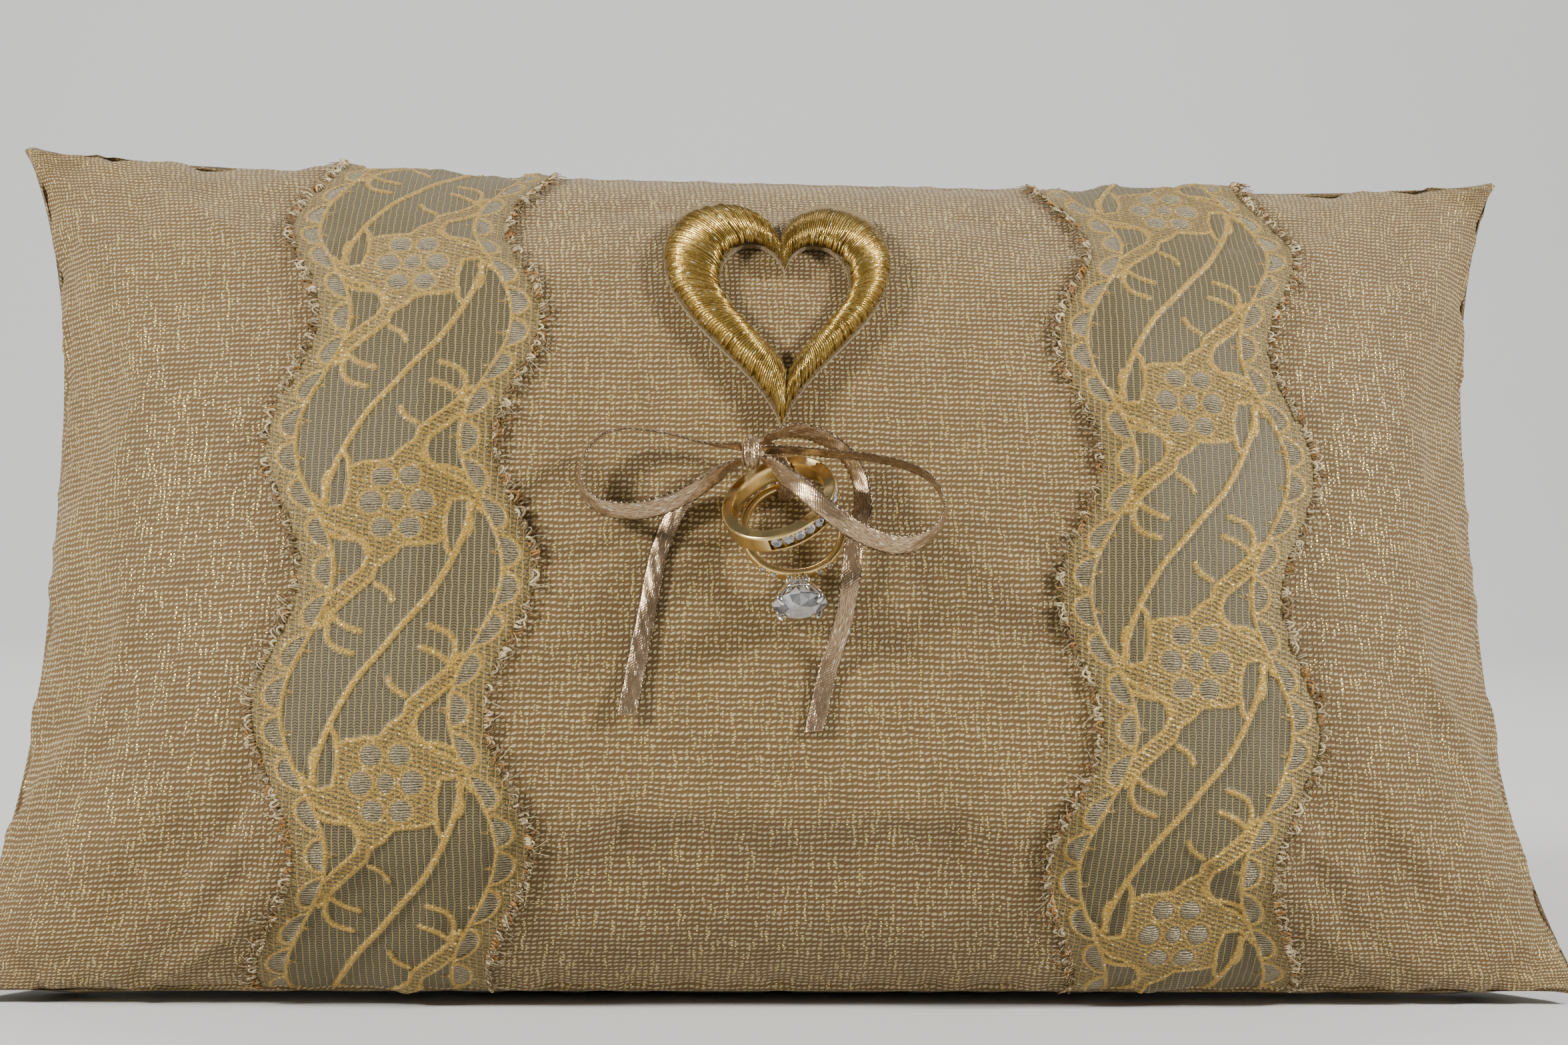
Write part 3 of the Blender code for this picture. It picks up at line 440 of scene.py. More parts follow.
def make_ribbon(name, node, route, width, thickness, cut=0.0, closed=False):
    """A flat strip along a route, cupped across, with small picot waves on both edges.

    Across it runs c from -1 to 1: the middle stands up by the cup and the edge swells out once
    for every picot.  Under it lies the same surface one thickness lower, and cut is how far the
    free end slants.  It gives back the piece and its centre line."""
    path = smooth_route(route, RIBBON_STEP, closed)
    places, normals = face_place(*(path[:, :3].T * MM))
    ahead = np.gradient(places, axis=0)
    if closed:
        ahead[0] = ahead[-1] = places[1] - places[-2]
    ahead = unit(ahead)
    if closed:
        wide = np.array([[1.0, 0.0, 0.0]])
        wide = unit(wide - ahead * np.sum(wide * ahead, axis=1, keepdims=True))
    else:
        flat = unit(np.cross(normals, ahead))
        turn = np.radians(path[:, 3:4])
        wide = flat * np.cos(turn) + np.cross(ahead, flat) * np.sin(turn)
    thin = np.cross(ahead, wide)
    steps = np.linalg.norm(np.diff(places, axis=0), axis=1)
    travel = np.concatenate([[0.0], np.cumsum(steps)])
    c = np.linspace(-1, 1, RIBBON_CELLS + 1)[None, :]
    v = travel[:, None]
    picot = PICOT_REACH * np.cos(math.pi * (v / PICOT_PITCH + 0.25 * c)) ** 2
    reach = c * (width / 2) + np.sign(c) * np.abs(c) ** 8 * (picot - PICOT_REACH / 2)
    ripple = 0.05 * MM * np.sin(v / (2.1 * MM) + 3 * c) + 0.04 * MM * np.sin(v / (0.8 * MM) - 5 * c)
    rise = RIBBON_CUP * (1 - c * c) + ripple
    slide = -cut * (1 + c) / 2 * np.clip((v - travel[-1] + 4 * cut) / (4 * cut + 1e-9), 0, 1)
    spine = places[:, None] + ahead[:, None] * slide[..., None] + wide[:, None] * reach[..., None]
    half = thickness / 2 * (1 - 0.6 * np.abs(c) ** 6) + 0 * v
    top = spine + thin[:, None] * (rise + half)[..., None]
    low = spine + thin[:, None] * (rise - half)[..., None]
    rings = np.concatenate([top, low[:, ::-1]], axis=1)
    uv = np.stack([reach, v + slide], axis=-1) / MM
    uv = np.concatenate([uv, uv[:, ::-1]], axis=1)
    rows, around = rings.shape[:2]
    if closed:
        rings = rings[:-1]
        uv = uv[:-1]
        rows -= 1
        faces = hoop_faces(rows, around)
    else:
        faces = tube_faces(rows, around)
    piece = add_piece(name, rings, faces, ribbon_shade, uv)
    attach(piece, "pillow")
    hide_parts(node)
    return piece, places


# The knot: the ribbon wrapped once round the crossing, pinched into folds across its width.
KNOT_PLACE = (-7.2, 84.5, 11.0)
KNOT_HALF = (1.35 * MM, 2.85 * MM, 1.7 * MM)
KNOT_STEPS = 72
KNOT_CELLS = 20


def make_knot():
    """A barrel about the X axis: an upright rounded oval whose size falls off at both edges and
    ripples in folds across the width; the last rings close it to its axis."""
    turn = np.linspace(0, 2 * math.pi, KNOT_STEPS, endpoint=False)[None, :]
    c = np.linspace(-1, 1, KNOT_CELLS + 1)[:, None]
    folds = 0.045 * np.cos(7.5 * c + 1.3 * np.sin(turn)) + 0.03 * np.cos(13 * c - 2 * np.cos(turn))
    size = (1 - 0.35 * np.abs(c) ** 5) * (1 + folds)
    size = np.where(np.abs(c) > 0.999, 0.02, size)
    waist = 1 - 0.22 * np.abs(np.sin(turn)) ** 4
    x = c * KNOT_HALF[0] * (1.0 + 0.12 * np.cos(turn) ** 2) * waist
    lump = np.sign(np.cos(turn)) * np.abs(np.cos(turn)) ** 0.8
    tall = np.sign(np.sin(turn)) * np.abs(np.sin(turn)) ** 0.8
    places = np.stack([x + 0 * turn, size * tall * KNOT_HALF[1], size * lump * KNOT_HALF[2]], axis=-1)
    world = np.array(seat_frame(*KNOT_PLACE))
    places = places @ world[:3, :3].T + world[:3, 3]
    around = 2 * math.pi * 2.3
    uv = np.stack([c * 1.6 + 0 * turn, turn / (2 * math.pi) * around + 0 * c], axis=-1)
    piece = add_piece("bow_knot_wrap", places, tube_faces(KNOT_CELLS + 1, KNOT_STEPS), ribbon_shade, uv)
    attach(piece, "pillow")
    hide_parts("bow_knot")
    return piece


knot = make_knot()
tie, _ = make_ribbon("tie_ribbon", "ring_tie_loop", TIE_ROUTE, TIE_WIDTH, TIE_THICKNESS,
                     closed=True)
for name, node, route, cut, far_end, others in (
        ("left_loop_ribbon", "bow_loop_left", LOOP_LEFT_ROUTE, 0.0, "knot", [knot, tie]),
        ("right_loop_ribbon", "bow_loop_right", LOOP_RIGHT_ROUTE, 0.0, "knot", []),
        ("left_tail_ribbon", "ribbon_tail_left", TAIL_LEFT_ROUTE, 0.9 * MM, "bare", []),
        ("right_tail_ribbon", "ribbon_tail_right", TAIL_RIGHT_ROUTE, 1.1 * MM, "bare", [])):
    ribbon, line = make_ribbon(name, node, route, RIBBON_WIDTH, RIBBON_THICKNESS, cut)


# ---------------------------------------------------------------- cover
# Two panels of plain-woven cloth with a metal yarn among the weft, sewn face to face, turned out
# through the seam and stuffed.  The stitches gather the cloth into small puckers beside the seam.
SIM_LONG = 120
SIM_HIGH = 72
SIM_SMALLER = 1.2 * MM
SIM_PRESSURE = 4.0
SIM_SLACK = 0.02
SIM_FRAMES = 20
SIM_MOST = 2.6 * MM
COVER_LONG = 280
COVER_HIGH = 164
PUCKER_HEIGHT = 0.75 * MM
PUCKER_REACH = 4.2 * MM
STITCH_PITCH = 2.6 * MM
STILL_HALF = (62 * MM, 60 * MM)            # the middle of the front keeps its shape
STILL_CENTRE = (0.0, 84 * MM)
WARP_PITCH = 0.95
WEFT_PITCH = 1.05


def angle_grid(cells_long, cells_high):
    """s and t on a grid whose steps get shorter towards the seams."""
    s = np.sin(np.linspace(-math.pi / 2, math.pi / 2, cells_long + 1))
    t = np.sin(np.linspace(-math.pi / 2, math.pi / 2, cells_high + 1))
    return np.meshgrid(s, t, indexing="ij")


def sewn_faces(rows, columns):
    """Faces of a front and a back grid that share their border, and where each back corner's
    number is found: the border's are the front's own."""
    count = rows * columns
    number = np.arange(count).reshape(rows, columns)
    back = number + count
    back[0], back[-1], back[:, 0], back[:, -1] = number[0], number[-1], number[:, 0], number[:, -1]
    front_faces = grid_faces(rows, columns)
    return np.concatenate([front_faces, back.ravel()[front_faces][:, ::-1]]), back


def settle_cover():
    """How far stuffing moves the cloth: a cloth simulation under pressure, seams held.

    The cover starts a little small with some slack in its weave, is blown up for a second, and
    each place's move from the plain shape is kept and capped, and mostly taken off over the
    middle of the front."""
    s, t = angle_grid(SIM_LONG, SIM_HIGH)
    plain = np.stack([skin(s, t, 1), skin(s, t, -1)])
    start = np.stack([skin(s, t, 1, SIM_SMALLER), skin(s, t, -1, SIM_SMALLER)])
    start[:, [0, -1]] = plain[:, [0, -1]]
    start[:, :, [0, -1]] = plain[:, :, [0, -1]]
    start[1, :, 0] = start[0, :, 0]
    faces, back = sewn_faces(SIM_LONG + 1, SIM_HIGH + 1)
    used, packed = np.unique(faces, return_inverse=True)
    places = start.reshape(-1, 3)[used]
    mesh = bpy.data.meshes.new("cover_in_the_making")
    mesh.from_pydata(places.tolist(), [], packed.reshape(faces.shape).tolist())
    blown = bpy.data.objects.new("cover_in_the_making", mesh)
    bpy.context.scene.collection.objects.link(blown)
    held = blown.vertex_groups.new(name="seam")
    border = np.isin(used, np.concatenate([back[0], back[-1], back[:, 0], back[:, -1]]))
    held.add(np.flatnonzero(border).tolist(), 1.0, "REPLACE")
    cloth = blown.modifiers.new("stuffing", "CLOTH")
    cloth.settings.effector_weights.gravity = 0
    cloth.settings.quality = 4
    cloth.settings.mass = 0.3
    cloth.settings.use_pressure = True
    cloth.settings.uniform_pressure_force = SIM_PRESSURE
    cloth.settings.shrink_min = -SIM_SLACK
    cloth.settings.vertex_group_mass = "seam"
    cloth.point_cache.frame_start = 1
    cloth.point_cache.frame_end = SIM_FRAMES
    for step in range(1, SIM_FRAMES + 1):
        bpy.context.scene.frame_set(step)
    done = blown.evaluated_get(bpy.context.evaluated_depsgraph_get())
    moved = np.zeros(len(used) * 3)
    done.data.vertices.foreach_get("co", moved)
    bpy.data.objects.remove(blown)
    bpy.data.meshes.remove(mesh)
    bpy.context.scene.frame_set(1)
    places = np.zeros((2 * s.size, 3))
    places[used] = moved.reshape(-1, 3)
    places = np.stack([places[:s.size], places[back.ravel()]]).reshape(plain.shape)
    move = places - plain
    far = np.linalg.norm(move, axis=-1, keepdims=True)
    move *= np.tanh(far / SIM_MOST) * SIM_MOST / np.maximum(far, 1e-9)
    across = skin(s, t, 1)[..., 0]
    still = ((across - STILL_CENTRE[0]) / STILL_HALF[0]) ** 4
    still = still + (((1 + t) * half_height(s) - STILL_CENTRE[1]) / STILL_HALF[1]) ** 4
    move[0] *= (np.clip(still, 0, 1) ** 2 * 0.85 + 0.15)[..., None]
    return move


cloth_move = settle_cover()


def spread_move(s, t, side):
    """The settled move at any s and t: a Catmull-Rom curve through the four nearest grid places
    both ways."""
    i = (np.arcsin(np.clip(s, -1, 1)) / math.pi + 0.5) * SIM_LONG
    j = (np.arcsin(np.clip(t, -1, 1)) / math.pi + 0.5) * SIM_HIGH

    def weights(x):
        return (0.5 * (-x + 2 * x ** 2 - x ** 3), 0.5 * (2 - 5 * x ** 2 + 3 * x ** 3),
                0.5 * (x + 4 * x ** 2 - 3 * x ** 3), 0.5 * (x ** 3 - x ** 2))

    i0 = np.clip(np.floor(i).astype(int), 0, SIM_LONG - 1)
    j0 = np.clip(np.floor(j).astype(int), 0, SIM_HIGH - 1)
    table = cloth_move[0 if side > 0 else 1]
    total = 0.0
    for a, wa in zip(range(-1, 3), weights(i - i0)):
        for b, wb in zip(range(-1, 3), weights(j - j0)):
            taken = table[np.clip(i0 + a, 0, SIM_LONG), np.clip(j0 + b, 0, SIM_HIGH)]
            total = total + (wa * wb)[..., None] * taken
    return total


def waves(distance, lengths, seed):
    """A gathered edge's uneven ripple: a sum of cosines of the given wavelengths."""
    lot = np.random.default_rng(seed)
    total = 0.0
    for length in lengths:
        total = total + np.cos(2 * math.pi * distance / length + lot.uniform(0, 6.28)
                               + 1.5 * np.sin(distance / (length * 2.7) + lot.uniform(0, 6.28)))
    return total / len(lengths)


def seam_puckers(s, t, side):
    """Height of the puckers: across the seam it rises to a peak at its reach and dies away, and
    along the seam it ripples, always outwards; longer folds fan out of the four corners."""
    across = skin(s, t, 1)[..., 0]
    up = half_height(s) * (1 + t)
    arc_t = np.arccos(np.clip(np.abs(t), 0, 1)) * 0.62 * HEIGHT_MIDDLE / 2
    arc_s = np.arccos(np.clip(np.abs(s), 0, 1)) * 0.42 * HALF_LENGTH_MIDDLE
    total = 0.0
    for depth, along, ends, seed in ((arc_t, across, t > 0, 3), (arc_s, up, s > 0, 5)):
        shape = depth / PUCKER_REACH * np.exp(1 - depth / PUCKER_REACH)
        ripple = np.where(ends, waves(along, (9 * MM, 13 * MM, 21 * MM), seed + side),
                          waves(along, (8 * MM, 12 * MM, 17 * MM), seed + 20 + side))
        total = total + PUCKER_HEIGHT * shape * (0.4 * ripple + 0.7)
    corner = np.hypot(arc_t, arc_s)
    bearing = np.arctan2(arc_t, arc_s + 1e-6)
    fan = np.cos(bearing * 9 + np.where(s > 0, 1.1, 2.3) + np.where(t > 0, 0.4, 2.0) + corner / (40 * MM))
    total = total + 1.1 * MM * fan * (corner / (15 * MM)) ** 2 * np.exp(-corner / (9 * MM))
    slack = waves(across, (58 * MM, 91 * MM), 31) * waves(up, (47 * MM, 73 * MM), 32)
    reach = np.clip(np.minimum(arc_t, arc_s) / (12 * MM), 0, 1)
    return total + 0.5 * MM * slack * reach


def cloth_place(s, t, side=1, lift=0.0):
    """The finished cloth at s and t: the plain shape, the settled move and the puckers, and a
    lift along the normal.  Under the pillow it lies flat on the table."""
    height = seam_puckers(s, t, side) + np.asarray(lift)
    raised = skin(s, t, side) + spread_move(s, t, side)
    raised = raised + outward(s, t, side, 2e-4) * height[..., None]
    raised[..., 2] = np.maximum(raised[..., 2], 0.0)
    return raised


def thread_lengths():
    """Arc lengths in millimetres along the middle of the front, both ways, for the weave."""
    fine = np.sin(np.linspace(-math.pi / 2, math.pi / 2, 400))
    tables = []
    for path in (skin(fine, np.zeros(400), 1), skin(np.zeros(400), fine, 1)):
        step = np.linalg.norm(np.diff(path, axis=0), axis=1)
        tables.append(np.concatenate([[0.0], np.cumsum(step)]) / MM)
    return fine, tables[0] - tables[0][-1] / 2, tables[1]


fine_share, length_across, length_up = thread_lengths()


def thread_uv(s, t):
    """Where a place lies in the flat cloth, in millimetres along the weft and the warp."""
    return np.stack([np.interp(s, fine_share, length_across), np.interp(t, fine_share, length_up)],
                    axis=-1)


# Plain weave seen close: a pale slub of weft floats over each warp thread as a short slanted
# dash, a browner weft runs between the pale rows, and bits of the metal yarn flash here and there.
woven_cloth, ends_in, ends_out = new_group(
    "woven_cloth", [("Vector", "v"), ("Warp", "f"), ("Weft", "f")],
    [("Pale", "f"), ("Between", "f"), ("Flash", "f"), ("Height", "f"), ("Drift", "f")])
flat_place = ends_in.outputs["Vector"]
stray = add_node(woven_cloth, "ShaderNodeTexNoise", {"Vector": flat_place, "Scale": 0.35, "Detail": 3.0})
stray_parts = add_node(woven_cloth, "ShaderNodeSeparateColor", {0: stray.outputs["Color"]})
parts = add_node(woven_cloth, "ShaderNodeSeparateXYZ", {0: flat_place})
stray_x = calc(woven_cloth, "MULTIPLY_ADD", stray_parts.outputs[0], 1.3, parts.outputs[0])
stray_y = calc(woven_cloth, "MULTIPLY_ADD", stray_parts.outputs[1], 1.1, parts.outputs[1])
across = calc(woven_cloth, "DIVIDE", stray_x, ends_in.outputs["Warp"])
along = calc(woven_cloth, "DIVIDE", stray_y, ends_in.outputs["Weft"])
cell_x = calc(woven_cloth, "SUBTRACT", calc(woven_cloth, "FRACT", across), 0.5)
slope = calc(woven_cloth, "MULTIPLY_ADD", cell_x, -0.22, along)
cell_y = calc(woven_cloth, "SUBTRACT", calc(woven_cloth, "FRACT", slope), 0.5)
lot_place = add_node(woven_cloth, "ShaderNodeCombineXYZ", {0: calc(woven_cloth, "FLOOR", across),
                                                           1: calc(woven_cloth, "FLOOR", slope)})
lot = add_node(woven_cloth, "ShaderNodeTexWhiteNoise", {"Vector": lot_place.outputs[0]},
               noise_dimensions="2D")
lot_parts = add_node(woven_cloth, "ShaderNodeSeparateColor", {0: lot.outputs["Color"]})
long_part = calc(woven_cloth, "MULTIPLY", cell_x, 1.25)
dash_long = calc(woven_cloth, "MULTIPLY", long_part, long_part)
slimness = calc(woven_cloth, "MULTIPLY_ADD", lot_parts.outputs[0], 0.7, 1.9)
tall_part = calc(woven_cloth, "MULTIPLY", cell_y, slimness)
dash = calc(woven_cloth, "MULTIPLY_ADD", tall_part, tall_part, dash_long)
pale = ramp(woven_cloth, dash, 0.34, 0.10)
half_row = calc(woven_cloth, "PINGPONG", calc(woven_cloth, "MULTIPLY", slope, 2.0), 1.0)
half_col = calc(woven_cloth, "PINGPONG", calc(woven_cloth, "MULTIPLY", across, 2.0), 1.0)
between = calc(woven_cloth, "MULTIPLY", ramp(woven_cloth, half_row, 0.2, 0.85),
               ramp(woven_cloth, half_col, 0.0, 0.7, 0.35, 1.0))
flash_at = calc(woven_cloth, "MULTIPLY_ADD", lot_parts.outputs[1], 0.6, -0.3)
flash_x = calc(woven_cloth, "SUBTRACT", cell_x, flash_at)
flash_y = calc(woven_cloth, "SUBTRACT", calc(woven_cloth, "ABSOLUTE", cell_y), 0.42)
flash_far = calc(woven_cloth, "MULTIPLY_ADD", flash_x, flash_x,
                 calc(woven_cloth, "MULTIPLY", flash_y, flash_y))
flash = calc(woven_cloth, "MULTIPLY", ramp(woven_cloth, flash_far, 0.03, 0.008),
             ramp(woven_cloth, lot_parts.outputs[2], 0.80, 0.86))
drift = noise(woven_cloth, flat_place, 0.09, 4.0, Roughness=0.65)
fuzz = noise(woven_cloth, flat_place, 9.0)
high = calc(woven_cloth, "MULTIPLY_ADD", between, 0.45, pale)
high = calc(woven_cloth, "MULTIPLY_ADD", fuzz, 0.3, high)
for key, value in (("Pale", pale), ("Between", between), ("Flash", flash), ("Height", high),
                   ("Drift", drift)):
    woven_cloth.links.new(value, ends_out.inputs[key])

cover_shade, tree, shader = new_material("woven_metal_thread_cloth", roughness=0.75,
                                         Sheen_Weight=0.12, Sheen_Roughness=0.5)
uv = threads(tree)
weave = use_group(tree, woven_cloth, Vector=uv, Warp=WARP_PITCH, Weft=WEFT_PITCH)
brown = blend_colour(tree, noise(tree, uv, 5.0, 3.0), (0.070, 0.035, 0.006), (0.170, 0.097, 0.021))
tan = blend_colour(tree, weave.outputs["Between"], brown, (0.230, 0.142, 0.039))
body = blend_colour(tree, weave.outputs["Pale"], tan, (0.48, 0.395, 0.215))
worn = ramp(tree, weave.outputs["Drift"], 0.35, 0.65)
toned = blend_colour(tree, worn, (0.86, 0.84, 0.80), (1.0, 1.0, 1.0))
body = blend_colour(tree, 1.0, body, toned, "MULTIPLY")
body = blend_colour(tree, weave.outputs["Flash"], body, (1.0, 0.80, 0.24))
seam = mask(tree, "seam")
# painted shade: the cloth is darkened along the seam's crease, most at each stitch's dimple
body = blend_colour(tree, calc(tree, "MULTIPLY", seam, 0.5), body, (0.12, 0.078, 0.030))
into_shader(tree, shader, weave.outputs["Height"], 0.16 * MM, 0.9, Base_Color=body,
            Roughness=ramp(tree, weave.outputs["Flash"], 0.0, 1.0, 0.78, 0.25),
            Metallic=calc(tree, "MULTIPLY", weave.outputs["Flash"], 0.7))


def make_cover():
    """Front and back grids of the finished cloth that share the seam.  The seam mask is painted
    shade in the seam's crease: it falls off within a thread or two of the stitches and comes and
    goes with each stitch."""
    s, t = angle_grid(COVER_LONG, COVER_HIGH)
    faces, back = sewn_faces(COVER_LONG + 1, COVER_HIGH + 1)
    places = np.concatenate([cloth_place(s, t, 1), cloth_place(s, t, -1)]).reshape(-1, 3)
    depth = np.minimum(np.arccos(np.abs(t)) * 0.62 * HEIGHT_MIDDLE / 2,
                       np.arccos(np.abs(s)) * 0.42 * HALF_LENGTH_MIDDLE)
    along = np.where(np.abs(t) > np.abs(s), skin(s, t, 1)[..., 0], half_height(s) * (1 + t))
    stitch = 0.7 + 0.3 * np.cos(2 * math.pi * along / STITCH_PITCH)
    seam = np.exp(-(depth / (0.8 * MM)) ** 2) * stitch
    uv = thread_uv(s, t)
    uv = np.concatenate([uv, uv + 7.3])
    used, packed = np.unique(faces, return_inverse=True)
    packed = packed.reshape(faces.shape)
    piece = add_piece("pillow_cover", places[used], packed, cover_shade,
                      uv.reshape(-1, 2)[used], {"seam": np.tile(seam.ravel(), 2)[used]})
    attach(piece, "pillow")
    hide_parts("cover_front_panel", "cover_back_panel")
    return piece


make_cover()


# ---------------------------------------------------------------- filling
# Loose polyester fibre, teased and packed in by hand.  It isn't seen, but it fills the cover and
# is what holds its shape.
FILLING_INSET = 3.2 * MM
FILLING_CORNER = 0.16              # how far the fibre stays short of the corners
FILLING_LONG = 110
FILLING_HIGH = 64

filling_shade, tree, shader = new_material("polyester_fibre", roughness=0.95, Sheen_Weight=0.3)
spot = in_place(tree)
body = blend_colour(tree, noise(tree, spot, 160.0, 5.0), (0.62, 0.61, 0.57), (0.92, 0.92, 0.90))
into_shader(tree, shader, noise(tree, spot, 1200.0), 0.4 * MM, Base_Color=body)


def make_filling():
    """The pillow's shape some way inside the cover, dented by tufts: a product of three waves
    along and up, only inwards."""
    s, t = angle_grid(FILLING_LONG, FILLING_HIGH)
    faces, back = sewn_faces(FILLING_LONG + 1, FILLING_HIGH + 1)
    dent = 0.5 + 0.5 * np.cos(s * 31 + 3 * np.sin(t * 9)) * np.cos(t * 23 + 2 * np.sin(s * 17))
    hollow = FILLING_INSET + 1.2 * MM * dent * (1 - s * s) * (1 - t * t)
    places = np.stack([skin(s, t, 1, 0), skin(s, t, -1, 0)])
    middle = (places[0] + places[1]) / 2
    away = places - middle
    reach = np.linalg.norm(away, axis=-1, keepdims=True)
    places = middle + away * np.clip(1 - hollow[None, ..., None] / np.maximum(reach, 1e-9), 0.02, 1)
    shrink = 1 - FILLING_INSET / np.array([HALF_LENGTH_MIDDLE, 1, HEIGHT_MIDDLE / 2])
    centre = np.array([0.0, middle[..., 1].mean(), middle[..., 2].mean()])
    corner = ((s * t) ** 4)[None, ..., None]
    share = np.array([shrink[0], 1.0, shrink[2]]) * (1 - FILLING_CORNER * corner)
    places = centre + (places - centre) * share
    places[..., 2] = np.maximum(places[..., 2], FILLING_INSET)
    used, packed = np.unique(faces, return_inverse=True)
    piece = add_piece("polyester_filling", places.reshape(-1, 3)[used], packed.reshape(faces.shape),
                      filling_shade)
    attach(piece, "pillow")
    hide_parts("fibre_filling")


make_filling()


# ---------------------------------------------------------------- lace strips
# Two strips of machine lace woven with metal yarn, laid over the front from seam to seam and
# caught down by hand: a ribbed see-through ground, a rosette with seven puffed ovals in every
# repeat, a vine between rosettes, a border cord with windows outside it, and frayed edges.
LACE_STRIPS = (("left_lace", "lace_strip_left", -67.0 * MM, -66.5 * MM, 0.42),
               ("right_lace", "lace_strip_right", 66.5 * MM, 73.5 * MM, 0.97))
LACE_WIDTH = 40.0
LACE_WAVE = 3.6
LACE_REPEAT = 48.0
LACE_END = math.radians(87.0)
LACE_ROWS = 590
LACE_COLUMNS = 132
LACE_LIFT = 0.45 * MM
BORDER_MIDDLE = 14.1
BORDER_WAVE = 4.0
WINDOWS = 7
WINDOW_SIZE = (2.9, 2.6)           # half across and half along
RIB_PITCH = 1.17
DRAWN_STEP = 1.1 * MM
OUTLINE_HALF = 0.34
VINE_HALF = 0.5
TENDRIL_HALF = 0.42
BORDER_HALF = 0.36
OVAL_HEIGHT = 0.62
FRAY_ROWS = 420
FRAY_LOOPS = 460
FRAY_ENDS = 240
FRAY_RADIUS = (0.2, 0.07)          # of a loop and of a loose end

# millimetres from a rosette's middle; each drawing is also there turned half round
ROSETTE = ((-6.4, 7.2), (-1.2, 7.6), (0.4, 9.6), (2.8, 11.2), (3.4, 13.4), (6.8, 16.4), (9.2, 18.6),
           (11.8, 21.6), (12.8, 20.0), (10.6, 16.6), (7.8, 14.0), (5.2, 11.8), (4.4, 9.6), (5.2, 7.4),
           (8.0, 5.2), (10.4, 4.4), (13.4, 2.2), (14.6, -1.6), (11.6, 1.0), (9.0, 0.6), (8.2, -2.6),
           (8.2, -6.4))
OVALS = ((-2.5, 4.6, 1.75, 1.7), (2.2, 4.6, 1.75, 1.7), (-4.3, 0.0, 1.85, 1.9), (0.0, 0.0, 1.3, 1.6),
         (4.3, 0.0, 1.85, 1.9), (-2.2, -4.6, 1.75, 1.7), (2.5, -4.6, 1.75, 1.7))
VINE = ((0.0, 24.0), (1.9, 26.4), (5.6, 30.8), (8.6, 36.0), (10.5, 40.2), (11.8, 44.0), (12.4, 47.2))
TENDRILS = (((-0.1, 17.4), (0.7, 15.8), (2.9, 14.4)),
            ((-11.4, 29.4), (-8.0, 26.6), (-5.0, 25.4)),
            ((6.3, 26.3), (9.6, 25.0), (10.8, 22.6), (10.2, 20.2)),
            ((3.8, 8.6), (5.8, 6.6), (8.6, 6.3), (11.6, 5.2), (14.0, 3.4)),
            ((8.4, -6.0), (8.6, -8.0), (9.4, -9.2)),
            ((11.9, 47.6), (12.6, 44.2), (12.0, 42.4)))


def far_from_line(x, y, points):
    """How far each place is from a line through the points, the nearest of its straight parts."""
    best = np.full(x.shape, 1e9)
    for (ax, ay), (bx, by) in zip(points[:-1], points[1:]):
        share = ((x - ax) * (bx - ax) + (y - ay) * (by - ay)) / ((bx - ax) ** 2 + (by - ay) ** 2)
        share = np.clip(share, 0, 1)
        best = np.minimum(best, np.hypot(x - ax - share * (bx - ax), y - ay - share * (by - ay)))
    return best


def inside_outline(x, y, points):
    """True inside a closed outline: a ray to the left crosses it an odd number of times."""
    odd = np.zeros(x.shape, dtype=bool)
    for (ax, ay), (bx, by) in zip(points, points[1:] + points[:1]):
        crosses = (ay > y) != (by > y)
        reach = ax + (y - ay) * (bx - ax) / (by - ay if by != ay else 1e-9)
        odd ^= crosses & (x < reach)
    return odd


def soft_edge(far, half, blur=0.18):
    """One inside half, nothing outside it, with a soft step between."""
    return np.clip((half - far) / blur + 0.5, 0, 1)


def curved(points):
    """A smooth line through a few points, as a list of its own closer points."""
    return [tuple(p) for p in smooth_route([(a, b, 0.0) for a, b in points], DRAWN_STEP)[:, :2]]


